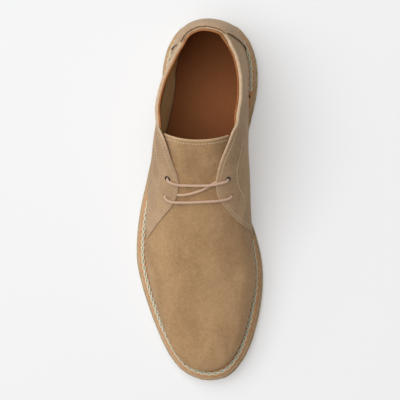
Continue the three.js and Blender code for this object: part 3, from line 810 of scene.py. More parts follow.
def ripple(points: Array, size: float, seed: int, waves: int = 10) -> Array:
    """A smooth random field between about -1 and 1.

    Args:
        points: Places, (..., 3).
        size: The size of its features.
        seed: Chooses the field.
        waves: How many waves it sums.

    Returns:
        A value for each point.
    """
    dice = np.random.default_rng(seed)
    directions = unit(dice.normal(size=(waves, 3)))
    pace = TAU / (size * dice.uniform(0.7, 1.6, waves))
    phase = dice.uniform(0, TAU, waves)
    return np.sin((points @ directions.T) * pace + phase).sum(axis=-1) / math.sqrt(waves) * 0.7


def close_sheet(shape: Shape, outer: Array, inner: Array, bulge: float, closed: bool = False,
                sealed: Array | None = None, slots: tuple[int, int, int] = (0, 0, 0),
                edge: Array | None = None, trim: int = 0) -> None:
    """Adds a leather with thickness: two faces, a rounded top rim, a flat foot and its ends.

    Args:
        shape: Takes the faces.
        outer: Corners of the outer face, (columns, rows, 3).
        inner: Corners of the inner face.
        bulge: How far the rim rounds up over the two faces.
        closed: Whether the columns run right round.
        sealed: Columns whose top has no rim up to the next column.
        slots: Material slots of outer face, inner face and rim.
        edge: The cut-edge mask on the outer face; the suede paints it paler, partly as a painted highlight.
        trim: How many of the inner face's top rows take the rim's slot.
    """
    lift = outer[:, -1] - outer[:, -2] + inner[:, -1] - inner[:, -2]
    lift /= np.maximum(np.linalg.norm(lift, axis=1, keepdims=True), 1e-9)
    rim = np.stack([blend(outer[:, -1], inner[:, -1], share) + lift * bulge * math.sin(math.pi * share)
                    for share in np.linspace(0, 1, 6)], axis=1)
    shape.add_grid(outer, slots[0], closed, edge=edge)
    lining = inner.shape[1] - trim
    shape.add_grid(inner[:, :lining], slots[1], closed, flip=True)
    if trim:
        shape.add_grid(inner[:, lining - 1:], slots[2], closed, flip=True)
    keep = None if sealed is None else ~(sealed & np.roll(sealed, -1))
    shape.add_grid(rim, slots[2], closed, edge=np.ones(rim.shape[:2]), keep=keep)
    shape.add_grid(np.stack([inner[:, 0], outer[:, 0]], axis=1), slots[1], closed)
    if not closed:
        for end, flip in ((0, False), (-1, True)):
            shape.add_grid(np.stack([inner[end], outer[end]]), slots[2], flip=flip)


def cut_round_hole(piece: Object, centre: Array, out: Array, radius: float, sides: int = 28,
                   depth: float = 14.0) -> None:
    """Cuts a round hole square through a leather.

    Args:
        piece: The leather.
        centre: The hole's middle, in millimetres.
        out: The way out of the leather.
        radius: The hole's radius.
        sides: Sides of the punch.
        depth: The punch's length.
    """
    bpy.ops.mesh.primitive_cylinder_add(vertices=sides, radius=radius * MM, depth=depth * MM,
                                        location=centre * MM)
    cutter = bpy.context.object
    cutter.rotation_euler = Vector(out).to_track_quat("Z", "Y").to_euler()
    cut = piece.modifiers.new("hole", "BOOLEAN")
    cut.object, cut.solver = cutter, "EXACT"
    bpy.context.view_layer.objects.active = piece
    bpy.ops.object.modifier_apply(modifier=cut.name)
    bpy.data.objects.remove(cutter)


# ---------------------------------------------------------------- shader nodes
class Tree:
    """Adds nodes to a node tree and links them."""

    def __init__(self, tree: NodeTree) -> None:
        """Keeps the tree."""
        self.tree = tree

    def node(self, kind: str, settings: dict | None = None, **inputs: object) -> Node:
        """Adds a node.

        Args:
            kind: Its type, without the ShaderNode prefix.
            settings: Its own properties.
            inputs: Values or sockets for its inputs, with _ for a space.

        Returns:
            The node.
        """
        node = self.tree.nodes.new("ShaderNode" + kind)
        for name, value in (settings or {}).items():
            setattr(node, name, value)
        self.fill(node, **inputs)
        return node

    def fill(self, node: Node, **inputs: object) -> None:
        """Gives a node's inputs values or sockets, by name with _ for a space."""
        for name, value in inputs.items():
            self.feed(node.inputs[name.replace("_", " ")], value)

    def feed(self, socket: Socket, value: object) -> None:
        """Links a socket to another, or sets its value.

        Args:
            socket: The input.
            value: A socket, a number, a vector or a colour of three parts.
        """
        if isinstance(value, Socket):
            self.tree.links.new(value, socket)
        elif socket.type == "RGBA":
            socket.default_value = (*value, 1)
        else:
            socket.default_value = value

    def mix(self, factor: object, first: object, second: object) -> Socket:
        """Mixes two colours.

        Args:
            factor: The second colour's share.
            first: The first colour.
            second: The second colour.

        Returns:
            The mixed colour.
        """
        node = self.node("Mix", {"data_type": "RGBA"})
        for place, value in ((0, factor), (6, first), (7, second)):
            self.feed(node.inputs[place], value)
        return node.outputs[2]

    def math(self, operation: str, *values: object) -> Socket:
        """Works out a number from others.

        Args:
            operation: The operation's name.
            values: The numbers or sockets it takes.

        Returns:
            The result.
        """
        node = self.node("Math", {"operation": operation})
        for socket, value in zip(node.inputs, values):
            self.feed(socket, value)
        return node.outputs[0]

    def times(self, value: object, factor: object) -> Socket:
        """A value times a factor."""
        return self.math("MULTIPLY", value, factor)

    def weigh(self, *parts: tuple[object, object]) -> Socket:
        """Adds values up by their weights.

        Args:
            parts: Each value with its weight.

        Returns:
            The sum.
        """
        total = self.times(*parts[0])
        for value, weight in parts[1:]:
            total = self.math("MULTIPLY_ADD", value, weight, total)
        return total

    def ramp(self, value: object, low: float, high: float, start: float = 0.0, end: float = 1.0) -> Socket:
        """Stretches a value's range, low to high, to another, start to end, and holds it there."""
        settings = {"From_Min": low, "From_Max": high, "To_Min": start, "To_Max": end}
        return self.node("MapRange", Value=value, **settings).outputs["Result"]

    def noise(self, vector: object, scale: object, **inputs: float) -> Socket:
        """Reads a noise texture at a place; scale is its features in a metre."""
        return self.node("TexNoise", Vector=vector, Scale=scale, **inputs).outputs["Fac"]


class SharedGroups:
    """The shader groups that several finishes share, each built once."""

    def __init__(self) -> None:
        """Builds every group."""
        self.mottle = self._mottle()
        self.nap = self._nap()
        self.grain = self._grain()
        self.twist = self._twist()

    @staticmethod
    def _start(name: str, vector: str, numbers: str, outputs: str) -> tuple[Tree, object, Node]:
        """Makes an empty group.

        Args:
            name: The group's name.
            vector: Its first input, a vector.
            numbers: Its other inputs, which are numbers, with spaces between.
            outputs: Its outputs, which are numbers, with spaces between.

        Returns:
            The tree, its input sockets and its output node.
        """
        group = bpy.data.node_groups.new(name, "ShaderNodeTree")
        group.interface.new_socket(vector, in_out="INPUT", socket_type="NodeSocketVector")
        for way, labels in (("INPUT", numbers), ("OUTPUT", outputs)):
            for label in labels.split():
                group.interface.new_socket(label, in_out=way, socket_type="NodeSocketFloat")
        source, sink = group.nodes.new("NodeGroupInput"), group.nodes.new("NodeGroupOutput")
        return Tree(group), source.outputs, sink

    def _mottle(self) -> NodeTree:
        """Builds soft patches of tone at one size, with a sharper contrast where wanted.

        Returns:
            The group.
        """
        tree, given, out = self._start("Mottle", "Vector", "Scale Contrast", "Value")
        noise = tree.noise(given["Vector"], given["Scale"], Detail=4.0, Roughness=0.6)
        spread = tree.math("MULTIPLY_ADD", tree.math("SUBTRACT", noise, 0.5), given["Contrast"], 0.5)
        tree.fill(out, Value=tree.node("Clamp", Value=spread).outputs[0])
        return tree.tree

    def _nap(self) -> NodeTree:
        """Builds suede's nap: brushed patches, and short fibres that stand up.

        Returns:
            The group.
        """
        tree, given, out = self._start("Nap", "Vector", "Brush Fibre", "Tone Height")
        place, brush, fibre = given["Vector"], given["Brush"], given["Fibre"]
        stretch = tree.node("Mapping", Vector=place, Scale=(1.0, 0.45, 0.8)).outputs[0]
        patches = tree.noise(stretch, brush, Detail=3.0, Roughness=0.6, Distortion=0.6)
        strokes = tree.noise(place, tree.times(brush, 7.0), Detail=3.0, Roughness=0.65)
        fibres = tree.noise(place, fibre, Detail=4.0, Roughness=0.75)
        pile = tree.noise(place, tree.times(fibre, 0.35), Detail=2.0, Roughness=0.6)
        tone = tree.weigh((patches, 0.36), (strokes, 0.2), (fibres, 0.3), (pile, 0.14))
        tree.fill(out, Tone=tree.ramp(tone, 0.38, 0.62), Height=tree.weigh((fibres, 1.0), (pile, 0.8)))
        return tree.tree

    def _grain(self) -> NodeTree:
        """Builds leather grain: small rounded cells with fine creases between them.

        Returns:
            The group.
        """
        tree, given, out = self._start("Grain", "Vector", "Scale Crease", "Height Creases")
        place, scale = given["Vector"], given["Scale"]
        warp = tree.node("TexNoise", Vector=place, Scale=tree.times(scale, 0.3)).outputs["Color"]
        shifted = tree.node("VectorMath", {"operation": "MULTIPLY_ADD"})
        for socket, value in zip(shifted.inputs, (warp, (0.002, 0.002, 0.002), place)):
            tree.feed(socket, value)
        edges = {"feature": "DISTANCE_TO_EDGE"}
        cells = tree.node("TexVoronoi", edges, Vector=shifted.outputs[0], Scale=scale).outputs["Distance"]
        rounded = tree.ramp(cells, 0.0, 0.25)
        pores = tree.noise(place, tree.times(scale, 2.2), Detail=3.0, Roughness=0.55)
        tree.fill(out, Height=tree.math("MULTIPLY_ADD", rounded, given["Crease"], pores),
                  Creases=tree.math("SUBTRACT", 1.0, rounded))
        return tree.tree

    def _twist(self) -> NodeTree:
        """Builds strands wound round a cord, from its run along and round it.

        Returns:
            The group.
        """
        tree, given, out = self._start("Twist", "Run", "Lay Strands", "Height Grooves")
        along, around = tree.node("SeparateXYZ", Vector=given["Run"]).outputs[:2]
        turned = tree.weigh((along, given["Lay"]), (around, given["Strands"]))
        wave = tree.math("ABSOLUTE", tree.math("SINE", tree.times(turned, math.pi)))
        tree.fill(out, Height=wave, Grooves=tree.ramp(wave, 0.0, 0.45, 1.0, 0.0))
        return tree.tree


class Look(Tree):
    """The node tree of one material, with its shader and the shared groups."""

    def __init__(self, name: str, groups: SharedGroups) -> None:
        """Makes the material.

        Args:
            name: The material's name.
            groups: The shared groups.
        """
        self.material = bpy.data.materials.new(name)
        self.material.use_nodes = True
        super().__init__(self.material.node_tree)
        self.groups = groups
        self.shader = self.tree.nodes["Principled BSDF"]
        self.place = self.node("TexCoord").outputs["Object"]

    def use(self, group: NodeTree, **inputs: object) -> bpy.types.bpy_prop_collection:
        """Places a shared group and returns its outputs."""
        return self.node("Group", {"node_tree": group}, **inputs).outputs

    def mottle(self, scale: float, contrast: float, place: object = None) -> Socket:
        """Places soft patches of tone: their number in a metre, how sharply they part, and where."""
        inputs = {"Vector": place or self.place, "Scale": scale, "Contrast": contrast}
        return self.use(self.groups.mottle, **inputs)["Value"]

    def grain(self, scale: float, crease: float) -> bpy.types.bpy_prop_collection:
        """Places leather's grain and returns its outputs."""
        return self.use(self.groups.grain, Vector=self.place, Scale=scale, Crease=crease)

    def relief(self, height: object, distance: float, strength: float = 1.0) -> None:
        """Feeds a height to the shader's normal; distance is in millimetres."""
        bump = self.node("Bump", Height=height, Distance=distance * MM, Strength=strength)
        self.fill(self.shader, Normal=bump.outputs["Normal"])


@dataclass(frozen=True)
class Finish:
    """What every finish has: a name, and a way to dress a material."""

    name: str

    def build(self, groups: SharedGroups) -> Material:
        """Makes the material.

        Args:
            groups: The shared groups.

        Returns:
            The material.
        """
        look = Look(self.name, groups)
        self.dress(look)
        return look.material

    def dress(self, look: Look) -> None:
        """Sets the shader; each finish does it in its own way."""
        raise NotImplementedError


@dataclass(frozen=True)
class Suede(Finish):
    """Brushed suede, paler where it is rubbed and on its cut edges, which are partly their own tone and
    partly a painted highlight.
    """

    light: Colour
    dark: Colour
    rubbed_and_lit: Colour
    brush: float = 55.0
    fibre: float = 1250.0
    pile: float = 0.22
    worn_share: float = 0.16

    def dress(self, look: Look) -> None:
        """Brushes the nap, rubs it in patches, and pales its cut edges, partly as a painted highlight.

        Args:
            look: The material.
        """
        look.fill(look.shader, Roughness=0.93, Sheen_Weight=0.1, Sheen_Roughness=0.6,
                  Sheen_Tint=(1.0, 0.84, 0.66), Specular_IOR_Level=0.2)
        nap = look.use(look.groups.nap, Vector=look.place, Brush=self.brush, Fibre=self.fibre)
        shade = look.mix(nap["Tone"], self.dark, self.light)
        shade = look.mix(look.times(look.mottle(14.0, 2.2), self.worn_share), shade, self.rubbed_and_lit)
        # Pale cut edges: partly their own tone, partly a painted highlight.
        mask = look.node("Attribute", {"attribute_name": "cut_edge_and_highlight"}).outputs["Fac"]
        pale_lit_edge = look.times(mask, look.ramp(look.mottle(420.0, 2.5), 0.0, 1.0, 0.35, 0.85))
        look.fill(look.shader, Base_Color=look.mix(pale_lit_edge, shade, self.rubbed_and_lit))
        look.relief(nap["Height"], self.pile, 0.8)


@dataclass(frozen=True)
class Leather(Finish):
    """Smooth or split leather with grain and a little unevenness of tone."""

    light: Colour
    dark: Colour
    roughness: float
    cell: float = 900.0
    relief: float = 0.08
    patch: float = 40.0
    shine: float = 0.35
    rough_spread: float = 0.08

    def dress(self, look: Look) -> None:
        """Lays two sizes of patches under the grain; darker places are rougher.

        Args:
            look: The material.
        """
        look.fill(look.shader, Roughness=self.roughness, Specular_IOR_Level=self.shine)
        grain = look.grain(self.cell, 0.8)
        tone = look.weigh((look.mottle(self.patch, 2.0), 0.6), (look.mottle(self.patch * 14, 2.0), 0.4))
        shade = look.mix(tone, self.dark, self.light)
        shade = look.mix(look.times(grain["Creases"], 0.3), shade, self.dark)
        matt, smooth = self.roughness + self.rough_spread, self.roughness - self.rough_spread
        look.fill(look.shader, Base_Color=shade, Roughness=look.ramp(tone, 0.0, 1.0, matt, smooth))
        look.relief(grain["Height"], self.relief)


@dataclass(frozen=True)
class Crepe(Finish):
    """Natural crepe rubber: crinkled, with darker pits and a dusty bloom."""

    light: Colour
    dark: Colour

    def dress(self, look: Look) -> None:
        """Mixes lumps with level streaks, and darkens the creases.

        Args:
            look: The material.
        """
        look.fill(look.shader, Roughness=0.78, Specular_IOR_Level=0.3)
        crinkle = look.grain(420.0, 1.6)
        lumps = look.mottle(160.0, 2.6)
        level = look.node("Mapping", Vector=look.place, Scale=(1.0, 1.0, 7.0)).outputs[0]
        tone = look.weigh((lumps, 0.5), (look.mottle(90.0, 2.4, level), 0.5))
        shade = look.mix(tone, self.dark, self.light)
        look.fill(look.shader, Base_Color=look.mix(look.times(crinkle["Creases"], 0.45), shade, self.dark))
        look.relief(look.math("MULTIPLY_ADD", lumps, 1.2, crinkle["Height"]), 0.3, 0.9)


@dataclass(frozen=True)
class Thread(Finish):
    """Twisted thread or cord."""

    light: Colour
    # The colour in the grooves between strands: painted shade.
    groove_shade: Colour
    lay: float
    strands: float
    relief: float = 0.12
    roughness: float = 0.75

    def dress(self, look: Look) -> None:
        """Winds the strands, darkens the grooves between them with painted shade, and dusts them.

        Args:
            look: The material.
        """
        look.fill(look.shader, Roughness=self.roughness, Sheen_Weight=0.15, Specular_IOR_Level=0.3)
        run = look.node("UVMap", {"uv_map": "run"}).outputs["UV"]
        twist = look.use(look.groups.twist, Run=run, Lay=self.lay, Strands=self.strands)
        # The grooves between strands take the darker colour: painted shade.
        shade = look.mix(look.times(twist["Grooves"], 0.7), self.light, self.groove_shade)
        dusty = look.times(look.mottle(260.0, 2.0), 0.22)
        look.fill(look.shader, Base_Color=look.mix(dusty, shade, self.groove_shade))
        look.relief(twist["Height"], self.relief)


@dataclass(frozen=True)
class Metal(Finish):
    """Darkened metal with bright wear."""

    worn: Colour
    dark: Colour

    def dress(self, look: Look) -> None:
        """Wears the metal bright in small patches.

        Args:
            look: The material.
        """
        look.fill(look.shader, Roughness=0.38, Metallic=1.0)
        wear = look.mottle(600.0, 3.0)
        look.fill(look.shader, Base_Color=look.mix(wear, self.dark, self.worn),
                  Roughness=look.ramp(wear, 0.0, 1.0, 0.5, 0.28))
        look.relief(wear, 0.02)


@dataclass(frozen=True)
class Paint(Finish):
    """A plain matt surface with the faintest unevenness."""

    light: Colour
    dark: Colour
    glow: float = 0.0

    def dress(self, look: Look) -> None:
        """Clouds the colour faintly.

        Args:
            look: The material.
        """
        cloud = look.mix(look.mottle(3.0, 1.0), self.dark, self.light)
        look.fill(look.shader, Base_Color=cloud, Roughness=0.9, Specular_IOR_Level=0.1,
                  Emission_Strength=self.glow, Emission_Color=WHITE)


class Finishes:
    """All finishes of the boot and its floor, built once."""

    def __init__(self) -> None:
        """Builds each material."""
        groups = SharedGroups()
        self.suede = Suede("suede", light=srgb(186, 149, 108), dark=srgb(146, 112, 76),
                           rubbed_and_lit=srgb(208, 179, 144)).build(groups)
        self.quarter_suede = Suede("quarter_suede", light=srgb(190, 158, 122), dark=srgb(152, 121, 89),
                                   rubbed_and_lit=srgb(214, 189, 160)).build(groups)
        # The heel panel's suede is a paler copy of the suede: a painted highlight where the light falls on
        # the back of the heel.
        self.lit_heel_suede = Suede("lit_heel_suede", light=srgb(201, 170, 136), dark=srgb(163, 133, 102),
                                rubbed_and_lit=srgb(228, 205, 178)).build(groups)
        self.flesh = Suede("flesh_side", light=srgb(238, 214, 172), dark=srgb(196, 170, 130),
                           rubbed_and_lit=srgb(238, 208, 166), brush=90.0, fibre=1200.0, pile=0.4).build(groups)
        # The heel panel's raw edge and inside are dark: partly the raw edge's own tone, partly painted shade
        # for the slit where the panel stands off the quarter.
        self.shaded_raw_edge = Leather("shaded_raw_edge", light=srgb(158, 124, 92), dark=srgb(96, 70, 50), roughness=0.85,
                                cell=1200.0, relief=0.15, patch=150.0).build(groups)
        self.edge_leather = Leather("edge_leather", light=srgb(196, 130, 74), dark=srgb(150, 88, 44),
                                    roughness=0.6, cell=1500.0, relief=0.1, patch=160.0).build(groups)
        self.welt = Leather("welt_leather", light=srgb(212, 164, 112), dark=srgb(182, 130, 80),
                            roughness=0.55, cell=1100.0, patch=120.0).build(groups)
        self.midsole = Leather("midsole_leather", light=srgb(212, 180, 150), dark=srgb(178, 142, 112),
                               roughness=0.7, cell=1300.0, relief=0.12, patch=150.0).build(groups)
        self.insole = Leather("insole_leather", light=srgb(138, 86, 51), dark=srgb(124, 75, 44),
                              roughness=0.8, cell=800.0, relief=0.05, patch=22.0, shine=0.12).build(groups)
        self.crepe = Crepe("crepe", light=srgb(218, 192, 148), dark=srgb(162, 137, 95)).build(groups)
        self.braid = Thread("braid_thread", light=srgb(222, 218, 194), groove_shade=srgb(140, 134, 104),
                            lay=0.75, strands=2.0).build(groups)
        self.stitch = Thread("seam_thread", light=srgb(214, 191, 160), groove_shade=srgb(166, 142, 110),
                             lay=1.6, strands=2.0, relief=0.05).build(groups)
        self.lace = Thread("lace_cord", light=srgb(206, 174, 150), groove_shade=srgb(160, 126, 102),
                           lay=0.7, strands=6.0, relief=0.09, roughness=0.7).build(groups)
        self.metal = Metal("dark_metal", worn=srgb(120, 112, 100), dark=srgb(52, 48, 44)).build(groups)
        # Dark patches for the needle holes: painted shade.
        self.needle_hole_shade = Paint("needle_hole_shade", light=srgb(98, 86, 62), dark=srgb(74, 62, 44)).build(groups)
        self.floor = Paint("floor", light=(0.588, 0.596, 0.61), dark=(0.583, 0.591, 0.605),
                           glow=0.29).build(groups)


def place_piece(piece: Object, slot: str, *nodes: str) -> Object:
    """Rides a piece on the boot's body and hides the CAD nodes that it stands for.

    Args:
        piece: The piece.
        slot: Not used.
        nodes: CAD nodes that it stands for.

    Returns:
        The piece.
    """
    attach(piece, "root")
    if nodes:
        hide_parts(*nodes)
    LOG.info("%s: %d faces", piece.name, len(piece.data.polygons))
    return piece


# ---------------------------------------------------------------- the sole
@dataclass
class Sole:
    """Crepe outsole and heel lift, leather midsole and welt, and the insole."""

    form: BootForm
    finishes: Finishes
    columns: int = 150
    strip_corners: int = 17
    edge_radius: float = 1.9
    edge_share: float = 0.35
    wobble_size: float = 7.0
    outsole_wobble: float = 0.14
    midsole_wobble: float = 0.1
    heel_wobble: float = 0.35
    welt_lap: float = 3.2
    midsole_inset: float = 1.6
    heel_breast: float = 86.0
    heel_columns: int = 70
    heel_taper: float = 1.2
    dish: float = 1.1
    dish_corners: int = 49
    dish_heel: tuple[float, float] = (8.0, 40.0)
    dish_toe: tuple[float, float] = (290.0, 250.0)
    half: Array = field(init=False)

    def __post_init__(self) -> None:
        """Spaces the columns."""
        self.half = np.linspace(0, math.pi, self.columns + 1)

    def build(self) -> None:
        """Builds every layer."""
        self._plate("crepe_outsole", 0.0, 0.0, LAYERS.outsole, self.outsole_wobble, self.finishes.crepe,
                    "crepe", "outsole")
        self._plate("midsole_leather", self.midsole_inset, LAYERS.midsole_base, LAYERS.midsole,
                    self.midsole_wobble, self.finishes.midsole, "midsole_leather", "midsole")
        self._heel()
        self._welt()
        self._insole()

    def _edge(self, outline: Outline, angle: Array, profile: list[tuple[Array, Array]]) -> Array:
        """Runs a profile round an outline.

        Args:
            outline: The outline.
            angle: Loop angles.
            profile: Insets from the outline and heights over the outsole's underside.

        Returns:
            Corners, (columns, rows, 3).
        """
        ray, rows = self.form.ray(outline, angle), []
        for inset, rise in profile:
            x, station = ray.beyond(-inset)
            rows.append(self.form.to_boot(x, station, self.form.underside(station) + rise))
        return np.stack(rows, axis=1)

    def _profile(self, inset: Array, base: float, thick: float) -> list[tuple[Array, float]]:
        """Rounds a layer's edge.

        Args:
            inset: How far the edge lies inside the outline.
            base: The layer's underside.
            thick: Its thickness.

        Returns:
            Insets and heights from its underside to its top.
        """
        radius, top = min(self.edge_radius, thick * self.edge_share), base + thick
        turns = np.linspace(0, math.pi / 2, 4)
        low = [(inset + radius * (1 - math.sin(t)), base + radius * (1 - math.cos(t))) for t in turns]
        high = [(inset + radius * (1 - math.cos(t)), top - radius * (1 - math.sin(t))) for t in turns]
        side = np.linspace(base + radius, top - radius, 5)[1:-1]
        return [*low, *[(inset, height) for height in side], *high]

    @staticmethod
    def _both_sides(shape: Shape, edge_at: Callable[[Array], Array], half: Array) -> Array:
        """Adds a layer's edge on both sides.

        Args:
            shape: Takes the faces.
            edge_at: Makes the edge's corners, (columns, rows, 3), at loop angles.
            half: Half angles.

        Returns:
            Corners of the medial and the lateral side, (2, columns, rows, 3).
        """
        edges = []
        for side in Side:
            edges.append(edge_at(side.loop_angle(half)))
            shape.add_grid(edges[-1], flip=side is Side.LATERAL)
        return np.stack(edges)

    def _strips(self, pair: Array, corners: int = 0) -> Array:
        """Draws strips from the second of two lines across to the first.

        Args:
            pair: Corners of both lines, (2, n, 3).
            corners: Corners on each strip, where there are more than usual.

        Returns:
            Corners, (n, corners, 3).
        """
        share = np.linspace(0, 1, corners or self.strip_corners)[:, None]
        return blend(pair[1][:, None], pair[0][:, None], share)

    def _uneven(self, edge: Array, amount: float, seed: int) -> Array:
        """Shifts an edge in and out a little, and not up or down.

        Args:
            edge: Its corners.
            amount: How far.
            seed: Chooses the unevenness.

        Returns:
            The shifted corners.
        """
        shifted = edge.copy()
        outwards = (edge[..., :2] - edge[..., :2].mean(axis=(0, 1))) / 60
        shifted[..., :2] -= outwards * ripple(edge, self.wobble_size, seed)[..., None] * amount
        return shifted

    def _plate(self, name: str, inset: float, base: float, thick: float, wobble: float,
               material: Material, slot: str, node: str) -> None:
        """Builds a full-length layer with a rounded, slightly uneven edge.

        Args:
            name: The piece's name.
            inset: How far its edge lies inside the sole's outline.
            base: Its underside.
            thick: Its thickness.
            wobble: How uneven its edge is.
            material: Its material.
            slot: Its material slot.
            node: The CAD node that it stands for.
        """
        shape, profile = Shape(), self._profile(inset, base, thick)
        edges = self._both_sides(
            shape, lambda angle: self._uneven(self._edge(self.form.sole, angle, profile), wobble, len(name)),
            self.half)
        shape.add_grid(self._strips(edges[:, :, 0]))
        shape.add_grid(self._strips(edges[:, :, -1]), flip=True)
        place_piece(shape.build(name, material), slot, node)

    def _heel_edge(self, angle: Array) -> Array:
        """Makes the heel lift's edge, from the floor up to the outsole.

        Args:
            angle: Loop angles.

        Returns:
            Corners, (columns, rows, 3).
        """
        ray, radius, rows = self.form.ray(self.form.sole, angle), self.edge_radius, []
        for turn in np.linspace(0, math.pi / 2, 4):
            x, station = ray.beyond(-self.heel_taper - radius * (1 - math.sin(turn)))
            rows.append(self.form.to_boot(x, station, radius * (1 - math.cos(turn))))
        for share in np.linspace(0.15, 1, 7):
            x, station = ray.beyond(-self.heel_taper * (1 - share))
            top = self.form.underside(station) - LAYERS.gap
            rows.append(self.form.to_boot(x, station, blend(radius, top, share)))
        return self._uneven(np.stack(rows, axis=1), self.heel_wobble, 5)

    def _heel(self) -> None:
        """Builds the crepe lift, with its breast."""
        shape = Shape()
        last = float(self.form.sole.angle_at(self.heel_breast))
        edges = self._both_sides(shape, self._heel_edge, np.linspace(0, last, self.heel_columns))
        shape.add_grid(self._strips(edges[:, :, 0]))
        shape.add_grid(self._strips(edges[:, :, -1]), flip=True)
        shape.add_grid(self._strips(edges[::-1, -1]))
        place_piece(shape.build("crepe_heel", self.finishes.crepe), "crepe", "heel")

    def _welt(self) -> None:
        """Builds the welt's ring, from its rounded outer edge in under the upper."""
        angles = np.linspace(0, TAU, 2 * self.columns + 1)[:-1]
        inset = Outline(WELT_LINES, "edge").value(angles)
        outside = self._edge(self.form.sole, angles, self._profile(inset, LAYERS.welt_base, LAYERS.welt))
        under = [(self.welt_lap, LAYERS.welt_top), (self.welt_lap, LAYERS.welt_base)]
        inside = self._edge(self.form.feather, angles, under)
        across = np.linspace(0, 1, 9)[1:, None]
        flat = blend(outside[:, -1:], inside[:, :1], across)
        shape = Shape()
        shape.add_grid(np.concatenate([outside, flat, inside[:, 1:], outside[:, :1]], axis=1), closed=True)
        place_piece(shape.build("welt_strip", self.finishes.welt), "welt_leather", "welt")

    def _insole(self) -> None:
        """Builds the insole, dished a little and turned up at its edge."""
        wall, lap = LAYERS.wall + LAYERS.gap, self.welt_lap + LAYERS.gap
        base, top = LAYERS.upper_base, LAYERS.upper_base + LAYERS.insole
        tiers = [(lap, LAYERS.welt_base), (lap, base), (wall, base), (wall, top - 0.5),
                 (wall + 0.15, top - 0.12), (wall + 0.6, top)]
        shape = Shape()
        edges = self._both_sides(shape, lambda angle: self._edge(self.form.feather, angle, tiers), self.half)
        shape.add_grid(self._strips(edges[:, :, 0], self.dish_corners))
        high = self._strips(edges[:, :, -1], self.dish_corners)
        across = np.linspace(0, 1, self.dish_corners)
        dish = np.minimum(1, 4 * across * (1 - across)) ** 0.5
        station = self.form.station_of(high)
        ends = smooth_step(*self.dish_heel, station) * smooth_step(*self.dish_toe, station)
        high[..., 2] -= self.dish * dish * ends * (0.8 + 0.3 * ripple(high, 45.0, 3))
        shape.add_grid(high, flip=True)
        place_piece(shape.build("insole_sock", self.finishes.insole), "insole_leather", "insole")


